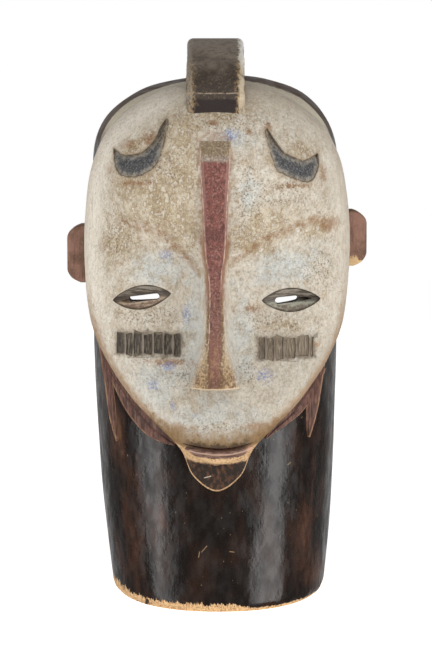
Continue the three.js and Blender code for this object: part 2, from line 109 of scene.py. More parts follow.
SPLINTER_BROWN = (96, 62, 38)
NOTCH_PAINTED_SHADE = (58, 36, 24)
BARE_WOOD = (216, 178, 128)
RAW_SHADOW = (158, 114, 70)
ROOM_LIGHT = 1.15  # how much brighter the room shows a surface than its colour
# Where hands have rubbed the neck: places across, heights, half widths and half heights.
RUBBED = [(-74, 74, 13, 62), (-49, 80, 8, 18), (80, 72, 9, 44), (-88, 150, 10, 40), (86, 26, 10, 18)]
NECK_SCRATCHES = [  # across, height, slope in degrees and length
    (-11, 57, 50, 7), (-15.5, 52, 80, 5), (13, 54.5, -8, 4), (-9, 131, 20, 5), (63, 129, 30, 3),
]
NOTCH_ACROSS = -62
NOTCH = [(NOTCH_ACROSS - 1, -3, 1.6), (NOTCH_ACROSS, 1.5, 1.4), (NOTCH_ACROSS + 0.6, 5.5, 0.8)]
NOTCH_DEPTH = 5


def along(rows, place, column=1):
    """The value at each place on a smooth line through rows of (place, value, value, ...), place rising."""
    rows = np.asarray(rows, float)
    places, values = rows[:, 0], rows[:, column]
    slopes = np.gradient(values, places)
    slopes[1:-1] = (values[2:] - values[:-2]) / (places[2:] - places[:-2])
    place = np.clip(place, places[0], places[-1])
    i = np.clip(np.searchsorted(places, place, side="right") - 1, 0, len(places) - 2)
    span = places[i + 1] - places[i]
    t = (place - places[i]) / span
    bend = t * (1 - t) * ((1 - t) * slopes[i] - t * slopes[i + 1]) * span
    return values[i] + (values[i + 1] - values[i]) * t * t * (3 - 2 * t) + bend


def smoothstep(value, start, end):
    t = np.clip((value - start) / (end - start), 0, 1)
    return t * t * (3 - 2 * t)


def lumps(points, size, seed=0):
    """Smooth unevenness from -1 to 1, in lumps of that size in mm, which may differ along X, Y and Z."""
    return np.array([noise.noise(place) for place in (np.asarray(points) / size + 17.3 * seed).tolist()])


def spots(across, height, places):
    """From 0 to 1: soft spots, each given as across, height, half width and half height."""
    return 1 - np.prod([
        1 - np.exp(-(((across - x) / wide) ** 2) - ((height - z) / tall) ** 2) for x, z, wide, tall in places
    ], axis=0)


def body(name, points, faces, finish, uneven=None):
    """A closed body of faces that are given as whole arrays of corners, made uneven along its own normals."""
    points = np.asarray(points, float)
    normals = np.zeros_like(points)
    size = 0
    for corners in faces:
        diagonal = points[corners[:, 2]] - points[corners[:, 0]]
        other_diagonal = points[corners[:, -1]] - points[corners[:, 1]]
        square = np.cross(diagonal, other_diagonal)
        size += (square * points[corners].mean(1)).sum()
        for corner in corners.T:
            np.add.at(normals, corner, square)
    if size < 0:
        faces = [corners[:, ::-1] for corners in faces]
        normals = -normals
    if uneven is not None:
        normals /= np.linalg.norm(normals, axis=1, keepdims=True) + 1e-9
        points = points + normals * uneven(points)[:, None]
    mesh = bpy.data.meshes.new(name)
    placed = (points + (0, WIDEST_PLANE, 0)) * MM + (0, 0, low.z)
    mesh.from_pydata(placed.tolist(), [], [face for corners in faces for face in corners.tolist()])
    mesh.materials.append(finish)
    return bpy.data.objects.new(name, mesh)


def loft(name, rings, finish, uneven=None):
    """A closed body through rings of points, each with the same number of points, with a cap at each end."""
    rings = np.asarray(rings, float)
    count, size = rings.shape[:2]
    points = np.vstack([rings.reshape(-1, 3), rings[0].mean(0), rings[-1].mean(0)])
    here = np.arange(size)
    after = np.roll(here, -1)
    start = (np.arange(count - 1) * size)[:, None]
    walls = np.stack([start + here, start + after, start + size + after, start + size + here], -1)
    last = (count - 1) * size
    foot = np.stack([after, here, np.full(size, count * size)], -1)
    head = np.stack([last + here, last + after, np.full(size, count * size + 1)], -1)
    return body(name, points, [walls.reshape(-1, 4), np.vstack([foot, head])], finish, uneven)


def dome_share(share, power):
    return (1 - share ** power) ** (1 / power)


def shell_half_width(height):
    return HEAD_HALF_WIDTH - FOOT_NARROWING * np.maximum(0, 1 - height / JAW_HEIGHT) ** FOOT_NARROWING_POWER


def shell_middle(height):
    return FOOT_LEAN + (HEAD_LEAN - FOOT_LEAN) * np.clip(height / JAW_HEIGHT, 0, 1)


def shell_depth(across, height):
    share = np.minimum(1, np.abs(across - shell_middle(height)) / shell_half_width(height))
    return SHELL_REACH * (1 - share ** SHELL_POWER) ** (1 / SHELL_POWER)


def level_ring(height, half_width, reach, power, back, arc_steps, side_steps):
    """One level ring: round in front, straight at the sides, and flat at the back."""
    turn = np.linspace(0, np.pi, arc_steps + 1)
    round_across = np.sign(np.cos(turn)) * np.abs(np.cos(turn)) ** (2 / power) * half_width
    straight = np.linspace(0, back, side_steps + 1)[1:]
    across = np.concatenate([round_across, np.full(side_steps, -half_width), np.full(side_steps, half_width)])
    y = np.concatenate([-np.abs(np.sin(turn)) ** (2 / power) * reach, straight, straight[::-1]])
    return np.stack([shell_middle(height) + across, y, np.full_like(y, height)], -1)


def dome_rings(rise, half_width, reach, power, back, arc_steps, side_steps):
    """The rings of a dome, bent so that its crown line is an arch from front to back."""
    rings = []
    for i in range(1, DOME_RINGS + 1):
        share = DOME_LAST_SHARE * np.sin(np.pi / 2 * i / DOME_RINGS)
        narrow = half_width * dome_share(share, DOME_SIDE_POWER)
        short = reach * dome_share(share, DOME_FRONT_POWER)
        ring = level_ring(DOME_START, narrow, short, power, back, arc_steps, side_steps)
        fall = DOME_ARCH * ((ring[:, 1] - DOME_ARCH_TOP) / (BACK_PLANE - DOME_ARCH_TOP)) ** 2
        ring[:, 2] += share * rise + share ** 2 * (DOME_TILT * ring[:, 0] - fall)
        rings.append(ring)
    return rings


def adzed(points):
    """Long shallow facets of the adze, none of them on the two flat planes that the mask is laid on."""
    free = (points[:, 1] < BACK_PLANE - 1) & (points[:, 2] > 1)
    chipped = np.maximum(0, lumps(points, 9, 3)) * smoothstep(points[:, 2], 9, 2) * CHIP_DEPTH
    return np.where(free, ADZE_DEPTH * lumps(points, ADZE_LUMP, 1) - chipped, 0)


def shell_body(finish):
    steps = dict(arc_steps=SHELL_ARC_STEPS, side_steps=SHELL_SIDE_STEPS)
    shape = dict(power=SHELL_POWER, back=BACK_PLANE, **steps)
    rings = []
    for height in [0, 1, 2.5, 4.5, 8, *range(12, DOME_START, SHELL_RING_STEP), DOME_START]:
        worn = RIM_ROUNDING * max(0, 1 - height / RIM_ROUNDING_HEIGHT) ** 2
        rings.append(level_ring(height, shell_half_width(height) - worn, SHELL_REACH - worn, **shape))
    rings += dome_rings(DOME_RISE, HEAD_HALF_WIDTH, SHELL_REACH, **shape)
    return loft("head_and_neck", rings, finish, adzed)


class Value:
    """A socket with a number that varies over the surface, so that shader maths reads as an expression."""

    def __init__(self, finish, socket):
        self.finish, self.socket = finish, socket

    def maths(self, operation, first, second):
        return self.finish.node("ShaderNodeMath", dict(operation=operation), {0: first, 1: second})

    def __add__(self, other):
        return self.maths("ADD", self, other)

    def __sub__(self, other):
        return self.maths("SUBTRACT", self, other)

    def __rsub__(self, other):
        return self.maths("SUBTRACT", other, self)

    def __mul__(self, other):
        return self.maths("MULTIPLY", self, other)

    __radd__ = __add__
    __rmul__ = __mul__

    def size(self):
        return self.finish.node("ShaderNodeMath", dict(operation="ABSOLUTE"), {0: self})

    def ragged(self, lumpy, by):
        """The value pushed up and down by a noise, so that a patch which ends at some value ends unevenly."""
        return self + by * (lumpy - 0.5)

    def rise(self, start, end):
        """From 0 to 1 as the value goes from start to end, smoothly. Start may be the higher one."""
        settings = dict(interpolation_type="SMOOTHSTEP")
        if start < end:
            return self.finish.node("ShaderNodeMapRange", settings, {0: self, 1: start, 2: end})
        return 1 - self.finish.node("ShaderNodeMapRange", settings, {0: self, 1: end, 2: start})


class Finish:
    """One finish of the wood: a material, with the noises and fields that vary it over the surface."""

    def __init__(self, name):
        self.material = bpy.data.materials.new(name)
        self.material.use_nodes = True
        self.nodes = self.material.node_tree.nodes
        self.surface = self.nodes["Principled BSDF"]
        place = self.node("ShaderNodeTexCoord", output="Object")
        self.place = self.node("ShaderNodeVectorMath", dict(operation="SCALE"), {0: place, 3: 1 / MM})
        self.height = self.node("ShaderNodeSeparateXYZ", sockets={0: self.place}, output=2)
        self.across = self.node("ShaderNodeSeparateXYZ", sockets={0: self.place}, output=0)

    def node(self, kind, settings=None, sockets=None, output=0):
        made = self.nodes.new(kind)
        for key, value in (settings or {}).items():
            setattr(made, key, value)
        for key, value in (sockets or {}).items():
            self.feed(made.inputs[key], value)
        return Value(self, made.outputs[output])

    def feed(self, socket, value):
        if isinstance(value, Value):
            self.material.node_tree.links.new(value.socket, socket)
        else:
            socket.default_value = value

    def noise(self, size, detail=3, roughness=0.55, seed=0):
        """Noise from 0 to 1 in lumps of that size in mm, which may differ along X, Y and Z."""
        scale = Vector([1 / length for length in (size if isinstance(size, tuple) else (size,) * 3)])
        sockets = {0: self.place, 1: scale, 2: Vector((seed * 7.1,) * 3)}
        vector = self.node("ShaderNodeVectorMath", dict(operation="MULTIPLY_ADD"), sockets)
        sockets = {"Vector": vector, "Scale": 1, "Detail": detail, "Roughness": roughness}
        return self.node("ShaderNodeTexNoise", {}, sockets)

    def field(self, name):
        return self.node("ShaderNodeAttribute", dict(attribute_name=name), output="Fac")

    def mix(self, share, under, over):
        """One colour over another, by a share. Each is a colour's three numbers or a socket."""
        first, second = (linear(colour) if isinstance(colour, tuple) else colour for colour in (under, over))
        return self.node("ShaderNodeMix", dict(data_type="RGBA"), {0: share, 6: first, 7: second}, output=2)

    def painted(self, colour, *layers):
        """A colour with layers of paint over it, from the first to the last: each is a share and a colour."""
        for share, over in layers:
            colour = self.mix(share, colour, over)
        return colour

    def done(self, colour, roughness, relief=None, depth=0, specular=0.3):
        """Feeds the surface: its colour, its roughness, and a fine relief of that depth in mm."""
        self.feed(self.surface.inputs["Base Color"], colour)
        self.feed(self.surface.inputs["Roughness"], roughness)
        self.surface.inputs["Specular IOR Level"].default_value = specular
        if relief is not None:
            bump = self.node("ShaderNodeBump", {}, {"Height": relief, "Distance": depth * MM})
            self.feed(self.surface.inputs["Normal"], bump)
        return self.material


def linear(colour):
    """A colour in the shader's own units, by the curve of a screen, and darker by what the room adds."""
    share = np.array(colour) / 255
    return (*np.where(share < 0.04, share / 12.92, ((share + 0.055) / 1.055) ** 2.4) / ROOM_LIGHT, 1)


def scratch(finish, across, height, slope, length, width=0.5):
    """From 0 to 1 on a straight scratch round a place, which climbs by that angle in degrees."""
    turn = np.radians(slope)
    x, z = finish.across - across, finish.height - height
    on = (x * np.cos(turn) + z * np.sin(turn)).size().rise(length / 2 + 0.5, length / 2)
    return on * (z * np.cos(turn) - x * np.sin(turn)).size().rise(width, width / 3)


def neck_finish():
    dark = Finish("dark_stained_wood")
    grain = dark.noise((2, 2, 40), 4, seed=1)
    cloudy = dark.noise((20, 20, 46), 4, seed=2)
    patchy = dark.noise((6, 6, 14), 4, 0.6, seed=10)
    crown = dark.height.rise(396, 430)
    rubbed = dark.field("rubbed").ragged(cloudy, 2).ragged(patchy, 1.4).ragged(grain, 0.5)
    off_face = dark.field("beside_face").ragged(patchy, 2.4) - 3.2 * dark.across.size().rise(78, 46)
    specks = dark.noise(2.4, 1, seed=4).rise(0.77, 0.8)
    for place in NECK_SCRATCHES:
        specks = specks + scratch(dark, *place)
    splinters = dark.noise((2.2, 2.2, 7), 3, 0.7, seed=5)
    splintered = dark.field("bare_rim").ragged(splinters, 0.9).rise(0.43, 0.49)
    bare = dark.mix(dark.noise((1.2, 1.2, 12), 3, seed=6).rise(0.45, 0.6) * 0.85, BARE_WOOD, RAW_SHADOW)
    bare = dark.mix(dark.noise((1.6, 1.6, 9), 3, seed=3).rise(0.58, 0.66) * 0.8, bare, SPLINTER_BROWN)
    # painted shade: the chip out of the rim is darkened, as it lies in shade
    notch_shade = scratch(dark, NOTCH_ACROSS, 3, 80, 7, 2.2)
    colour = dark.painted(
        dark.mix(cloudy.rise(0.42, 0.62), NECK_BLACK, NECK_UMBER),
        (crown * (0.25 + 0.35 * patchy.rise(0.36, 0.64)), NECK_WORN),
        (off_face.rise(-7.2, -5.8) * crown * 0.9, SPILT_KAOLIN),
        ((off_face + 6.2).size().rise(1.2, 0.4) * crown * 0.8, SPILT_EDGE),
        (rubbed.rise(0.2, 1.2) * 0.85, NECK_BROWN),
        (rubbed.rise(0.95, 1.5) * 0.6, NECK_WORN),
        (grain.rise(0.52, 0.7) * 0.3, GRAIN_BLACK),
        (specks * 0.35, BARE_WOOD),
        (splintered, dark.mix(notch_shade, bare, NOTCH_PAINTED_SHADE)),
    )
    smooth = 0.16 + 0.2 * dark.noise((9, 9, 16), 4, seed=7).rise(0.36, 0.7) + 0.12 * patchy + 0.2 * crown
    relief = dark.noise((11, 11, 16), 4, 0.5, seed=8) + 0.08 * grain + 0.1 * dark.noise(2.4, 4, seed=9)
    return dark.done(colour, smooth + splintered * 0.45, relief, depth=0.8, specular=0.55)


def bare_rim(across, depth, height):
    """From 1 at the rim to 0 above it: a band of bare wood, high at the left corner and low on the right."""
    band_height = 2.8 + 4.2 * smoothstep(across, 36, 10) + 5 * np.exp(-(((across + 92) / 14) ** 2))
    band_height = band_height + 2.4 * np.exp(-(((across - 97) / 6) ** 2))
    return np.clip(1 - height / (2 * band_height), 0, 1) * (depth > -BACK_PLANE + 1)


fields["rubbed"] = lambda across, depth, height: spots(across, height, RUBBED) * (depth > 0)
fields["bare_rim"] = bare_rim
neck_wood = neck_finish()
standing.append(shell_body(neck_wood))

# The hollow.
# Cut from behind and below with a gouge, and left rough, in bare wood that age and handling have darkened.
SIDE_WALL = 19
DOME_WALL = 22
HOLLOW_POWER = 2.7
HOLLOW_REACH = [(0, 97), (110, 98), (200, 106), (290, 110), (350, 120), (385, 122)]  # height, depth
HOLLOW_PAST = 20  # how far what cuts it runs on past the back and the rim
HOLLOW_RINGS = 70
HOLLOW_ARC_STEPS = 72
HOLLOW_SIDE_STEPS = 12
GOUGE_MARK = (17, 17, 38)
GOUGE_DEPTH = 2.2
GOUGE_MIDDLE = 1.4  # how much of it is taken off again, so that the wall keeps its thickness
INSIDE_WOOD = (122, 92, 62)
INSIDE_GRAIN = (84, 60, 40)
INSIDE_SHADE = (70, 50, 35)
INSIDE_FLECK = (160, 128, 92)


def gouged(points):
    """Scallops of a gouge, each a shallow scoop with a ridge round it."""
    near = [noise.voronoi(place)[0][0] for place in (points / GOUGE_MARK).tolist()]
    scooped = GOUGE_DEPTH * (1 - np.minimum(1, np.array(near)) ** 2) - GOUGE_MIDDLE
    return scooped + 0.3 * lumps(points, 5, 21)


def hollow_cut(finish):
    steps = dict(arc_steps=HOLLOW_ARC_STEPS, side_steps=HOLLOW_SIDE_STEPS)
    shape = dict(power=HOLLOW_POWER, back=BACK_PLANE + HOLLOW_PAST, **steps)
    rings = []
    for height in [-HOLLOW_PAST, *np.linspace(0, DOME_START, HOLLOW_RINGS)]:
        half_width = shell_half_width(max(0, height)) - SIDE_WALL
        rings.append(level_ring(height, half_width, float(along(HOLLOW_REACH, height)), **shape))
    rings += dome_rings(DOME_RISE - DOME_WALL, HEAD_HALF_WIDTH - SIDE_WALL, HOLLOW_REACH[-1][1], **shape)
    return loft("hollow", rings, finish, gouged)


def inside_finish():
    wood = Finish("gouged_inside_wood")
    grain = wood.noise((3, 3, 50), 5, 0.65, seed=11)
    colour = wood.painted(
        wood.mix(grain.rise(0.35, 0.65), INSIDE_WOOD, INSIDE_GRAIN),
        (wood.noise(40, 4, seed=12).rise(0.45, 0.65) * 0.6, INSIDE_SHADE),
        (wood.noise(2, 2, seed=13).rise(0.62, 0.7) * 0.4, INSIDE_FLECK),
    )
    return wood.done(colour, 0.75, grain, depth=0.8, specular=0.3)


cut_away.append(hollow_cut(inside_finish()))

# The face.
# A heart-shaped shield that stands off the head, with a swelling forehead over a hollowed lower face. It is
# whitened with kaolin over the wood, stained by handling, and rubbed back to the wood along its edge.
FACE_EDGE = [  # across, height and depth, down one side from the crown to the chin
    (0, 459, 77), (46, 454, 73), (87, 428, 55), (108.5, 393, 44), (117, 345, 36), (118, 300, 35),
    (112, 250, 45), (98, 219, 68), (75, 189, 99), (50, 164.5, 116), (31, 146.5, 126), (20, 124, 131),
    (0, 111, 132),
]
FACE_CENTRE = 290  # the height that the outline and the grid of the face are laid out round
FACE_EDGE_BAND = 9  # the thickness of its edge
FACE_ROOT_SHARE = 0.9  # its back, inside the shell: its size
FACE_ROOT_BEHIND = 8  # and how much deeper
# The middle line of the forehead and of the lower face, by height and depth.
FOREHEAD = [(285, 126), (310, 129.5), (335, 134), (360, 139.5), (385, 144.5), (410, 147), (440, 149)]
FOREHEAD_RADIUS = 420
LOWER_FACE = [(111, 130), (134, 133), (160, 139), (200, 131), (250, 124), (275, 121), (330, 121)]
LOWER_FACE_RADIUS = 480
EYE_HOLLOW_ACROSS = 38  # the soft hollow round each eye
EYE_HOLLOW_HEIGHT = 280
EYE_HOLLOW_SIZE = 26
EYE_HOLLOW_DEPTH = 4
BROW_AT_NOSE = 281  # the height of the step between forehead and lower face
BROW_RISE = 62
BROW_SPREAD = 28
BROW_BAND = 34  # the height that the step is spread over
FACE_STEPS = 212
KAOLIN_WARM = (202, 190, 172)
KAOLIN_COOL = (198, 200, 195)
KAOLIN_OLIVE = (172, 155, 121)
KAOLIN_FLAKE = (226, 218, 206)
BROWN_STAIN_AND_FLAKE_SHADOW = (140, 102, 66)
SPECK = (96, 78, 58)
NOSE_FLANK_SHADE = (140, 90, 58)
PIGMENT_BLUE = (112, 130, 180)
KAOLIN_TAN = (172, 154, 126)
KAOLIN_PALE = (218, 213, 200)
CRUST_BROWN = (150, 128, 98)
SCALE_CREAM = (212, 201, 180)
SCALE_OLIVE = (146, 128, 96)
PAINTED_SHADE_GREY = (142, 137, 126)
EDGE_PAINTED_LIGHT = (230, 221, 206)
EDGE_STREAK = (178, 158, 130)
EDGE_TAN = (156, 120, 82)
WORN_EDGE = (206, 198, 182)
WORN_JAW = (190, 162, 130)
CRESCENT_HALO = (148, 126, 98)
CRESCENT_RIM = (78, 64, 52)
CHEEK_SMUDGE = (104, 91, 75)
MOUTH_STAIN = (128, 98, 58)
MOUTH_DARK_EDGE = (62, 45, 30)
UPPER_LIP_WOOD = (200, 164, 122)
UPPER_LIP_GRAIN = (130, 92, 60)
CHIN_DARK = (46, 34, 26)
CHIN_BROWN = (92, 60, 40)
CHIN_SCRATCH = (190, 180, 165)
# Where the kaolin differs: soft spots, each by its place across, its height, half width and half height.
BLUE_SPOTS = [
    (-37.6, 185.2, 4, 4.5), (-17.9, 177.2, 4, 3), (40, 211, 9, 7), (-43.5, 314, 7, 5), (11.8, 416, 8, 7),
    (-54.8, 202.4, 6, 5), (-41, 219, 9, 5), (-26, 262, 5, 10),
]
COOL_SPOTS = [
    (-20, 250, 12, 45), (22, 248, 14, 50), (-48, 300, 32, 20), (58, 303, 38, 22), (0, 180, 45, 18),
    (14, 412, 18, 9), (-52, 205, 26, 24), (26, 366, 12, 26),
]
STAINED_SPOTS = [
    (-45, 358, 34, 28), (-68, 372, 26, 16), (-90, 322, 20, 22), (-28, 335, 18, 22), (30, 325, 22, 17),
    (44, 342, 24, 18), (80, 338, 26, 12), (0, 442, 70, 14), (-68, 404, 24, 15), (74, 402, 20, 12),
    (-30, 425, 18, 14), (-30, 400, 16, 24), (60, 252, 20, 8),
]
SPECKED_SPOTS = [
    (27, 366, 12, 28), (-62, 262, 26, 8), (46, 254, 22, 9), (-84, 330, 16, 18), (8, 424, 26, 10),
    (-22, 208, 14, 10), (24, 214, 12, 10), (60, 366, 16, 12), (88, 300, 14, 20), (0, 168, 20, 6),
    (-44, 388, 12, 12),
]
BROWNED_SPOTS = [
    (-93, 386, 5, 9), (-68, 375, 18, 3), (-78, 408, 10, 6), (-56, 412, 8, 6), (91, 382, 4, 9),
    (66, 373, 20, 2.5), (-40, 222, 26, 4), (-104, 242, 6, 16), (100, 340, 12, 6), (43, 422, 5, 5),
    (-4, 426, 6, 3), (-100, 318, 5, 8), (30, 268, 8, 4), (80, 235, 10, 4), (-34, 166, 10, 5),
    (34, 168, 12, 4), (27, 419, 4, 4),
]
BROW_LINES = [  # across, height and half width, from the nose outwards
    [(-11.1, 293, 3), (-25.6, 311.1, 4), (-46.8, 330.9, 5), (-61.3, 337.5, 5), (-83.1, 340.9, 4)],
    [
        (10.2, 304.7, 3), (28.1, 319.1, 4), (45.9, 329.1, 4), (64.8, 336.4, 4), (83.1, 342.6, 5),
        (100.4, 332.6, 5),
    ],
]


def smooth_line(points, steps, closed=False):
    """Points along a smooth line through the given ones, `steps` to each span."""
    points = np.asarray(points, float)
    ends = (points[-1], points[:2]) if closed else (2 * points[0] - points[1], 2 * points[-1] - points[-2])
    padded = np.vstack([ends[0], points, ends[1]])
    spans = len(padded) - 3
    travel = np.linspace(0, spans, spans * steps + 1)[: -1 if closed else None]
    i = np.minimum(travel.astype(int), spans - 1)
    t = (travel - i)[:, None]
    before, start, end, after = (padded[i + k] for k in range(4))
    bend = t * (1 - t) * ((1 - t) * (end - before) - t * (after - start)) / 2
    return start + (end - start) * t * t * (3 - 2 * t) + bend


def direction(across, height):
    return np.arctan2(across, height - FACE_CENTRE)


one_side = np.array(FACE_EDGE, float)
face_outline = smooth_line(np.vstack([one_side, one_side[-2:0:-1] * (-1, 1, 1)]), 12, closed=True)
outline_direction = direction(face_outline[:, 0], face_outline[:, 1])
outline_reach = np.hypot(face_outline[:, 0], face_outline[:, 1] - FACE_CENTRE)


def outline_towards(angle):
    """How far the outline is from the face's centre in a direction, and how deep it is there."""
    known = outline_reach, face_outline[:, 2]
    return [np.interp(angle, outline_direction, values, period=2 * np.pi) for values in known]


def face_relief(across, height):
    side = np.abs(across)
    forehead = along(FOREHEAD, height) - side ** 2 / (2 * FOREHEAD_RADIUS)
    off_eye = np.hypot((side - EYE_HOLLOW_ACROSS) / 1.3, height - EYE_HOLLOW_HEIGHT) / EYE_HOLLOW_SIZE
    eye_hollow = EYE_HOLLOW_DEPTH * np.exp(-(off_eye ** 2))
    lower = along(LOWER_FACE, height) - side ** 2 / (2 * LOWER_FACE_RADIUS) - eye_hollow
    brow = BROW_AT_NOSE + BROW_RISE * (1 - np.exp(-side / BROW_SPREAD))
    return lower + (forehead - lower) * smoothstep(height, brow - BROW_BAND / 2, brow + BROW_BAND / 2)


def face_depth(across, height):
    angle = direction(across, height)
    reach, edge_depth = outline_towards(angle)
    share = np.minimum(1, np.hypot(across, height - FACE_CENTRE) / reach)
    power = 3.6 + 5.4 * smoothstep(np.abs(angle), 0.9, 2.1)
    return edge_depth + (face_relief(across, height) - edge_depth) * np.sqrt(1 - share ** power)


def hand_cut(points):
    """The slight waves that the knife leaves on the face, with the grain of the kaolin over them."""
    return 0.45 * lumps(points, (20, 60, 26), 5) + 0.12 * lumps(points, 4, 6)


def face_body(finish):
    """The shield: a square grid drawn out to the round outline, then the band round its edge and its root."""
    a, b = np.meshgrid(np.linspace(-1, 1, FACE_STEPS + 1), np.linspace(-1, 1, FACE_STEPS + 1))
    wide = np.abs(a) >= np.abs(b)
    larger = np.where(wide, a, b)
    larger = np.where(larger == 0, 1, larger)
    ratio = np.where(wide, b, a) / larger
    angle = np.where(wide, ratio, 2 - ratio) * np.pi / 4 + np.pi * (larger < 0)
    share = np.sin(np.pi / 2 * np.maximum(np.abs(a), np.abs(b)))
    reach, edge_depth = outline_towards(angle)
    across = np.sin(angle) * reach * share
    height = FACE_CENTRE + np.cos(angle) * reach * share
    depth = np.where(share > 1 - 1e-9, edge_depth, face_depth(across, height))
    front = np.stack([across, -depth, height], -1).reshape(-1, 3)
    number = np.arange(len(front)).reshape(FACE_STEPS + 1, -1)
    squares = np.stack([number[:-1, :-1], number[:-1, 1:], number[1:, 1:], number[1:, :-1]], -1)
    loop = np.concatenate([number[0, :-1], number[:-1, -1], number[-1, :0:-1], number[:0:-1, 0]])
    rings, points = [loop], [front]
    root = (FACE_ROOT_SHARE, FACE_EDGE_BAND + FACE_ROOT_BEHIND)
    for size, behind in [(0.998, 1), (0.995, FACE_EDGE_BAND), root]:
        rings.append(sum(len(part) for part in points) + np.arange(len(loop)))
        points.append(front[loop] * (size, 1, size) + (0, behind, FACE_CENTRE * (1 - size)))
    middle = np.full(len(loop), sum(len(part) for part in points))
    points.append(points[-1].mean(0, keepdims=True))
    walls = [squares.reshape(-1, 4)]
    for outer, inner in zip(rings, rings[1:]):
        walls.append(np.stack([inner, np.roll(inner, -1), np.roll(outer, -1), outer], -1))
    back = np.stack([middle, np.roll(rings[-1], -1), rings[-1]], -1)
    return body("face", np.vstack(points), [np.vstack(walls), back], finish, hand_cut)


def kaolin_colour(white):
    """Kaolin over light wood: warm where it is thin, cool where it is thick, flaked, specked and stained."""
    cloudy = white.noise((26, 26, 30), 4, seed=21)
    mottle = white.noise((6, 6, 7), 5, 0.65, seed=22)
    fleck = white.noise(1.8, 4, 0.7, seed=23)
    flaked = white.noise((3, 3, 4.6), 4, 0.6, seed=24)
    stained = white.field("stained").ragged(mottle, 2).ragged(cloudy, 1.2).rise(0.2, 1)
    specked = (0.3 + white.field("specked")).ragged(mottle, 1.4).rise(0.2, 1.1)
    cool = white.field("cool").ragged(cloudy, 1.5).ragged(mottle, 1.2).rise(0.25, 1)
    uneven = white.noise((10, 10, 9), 4, 0.62, seed=28)
    crusted = white.noise((2.6, 2.6, 3), 4, 0.7, seed=29)
    scaled = white.noise((11, 11, 16), 5, 0.68, seed=31)
    # painted shade: grey laid over the lower face, and a little over the right side, to darken them
    painted_shade = (white.height.rise(280, 200) * 0.3 + white.across.rise(10, 80) * 0.16).ragged(mottle, 0.6)
    flake = flaked.rise(0.53, 0.58)
    browned = white.field("browned").ragged(mottle, 1.6).ragged(fleck, 0.8).rise(0.25, 0.95)
    blue = white.field("blue").ragged(mottle, 1.2).rise(0.3, 1) * fleck.rise(0.4, 0.56)
    colour = white.painted(
        white.mix(cool, KAOLIN_WARM, KAOLIN_COOL),
        (uneven.rise(0.5, 0.64) * 0.6, KAOLIN_TAN),
        (uneven.rise(0.48, 0.36) * 0.6, KAOLIN_PALE),
        (stained * 0.85, KAOLIN_OLIVE),
        (crusted.rise(0.52, 0.62) * 0.35, CRUST_BROWN),
        (crusted.rise(0.47, 0.38) * 0.2, KAOLIN_FLAKE),
        (scaled.rise(0.5, 0.6) * stained * 0.7, SCALE_CREAM),
        (scaled.rise(0.46, 0.38) * stained * 0.5, SCALE_OLIVE),
        (painted_shade.rise(-0.1, 0.8) * 0.75, PAINTED_SHADE_GREY),
        # painted shadow: a brown rim round each raised flake
        (flaked.rise(0.45, 0.51) * (1 - flake) * stained * 0.5, BROWN_STAIN_AND_FLAKE_SHADOW),
        (flake * (0.08 + 0.3 * stained), KAOLIN_FLAKE),
        (browned * 0.8, BROWN_STAIN_AND_FLAKE_SHADOW),
        (fleck.rise(0.52, 0.62) * (0.12 + 0.6 * specked), SPECK),
        (fleck.rise(0.46, 0.36) * 0.35, KAOLIN_FLAKE),
        (blue * 0.65, PIGMENT_BLUE),
    )
    return colour, mottle, fleck, flake


def nose_flank_shade(finish, mottle):
    """From 0 to 1 beside the nose bar, darkest at its waist: painted shade, in brown, on the bar's steep
    flanks.
    """
    waist = (finish.height - 302).ragged(mottle, 50).size().rise(40, 16)
    beside = finish.field("off_bevel").ragged(mottle, 9).rise(5, 1)
    broken = 0.4 * finish.height.rise(250, 280) * mottle.rise(0.42, 0.54)
    return beside * (broken * (1 - waist) + 0.85 * waist)


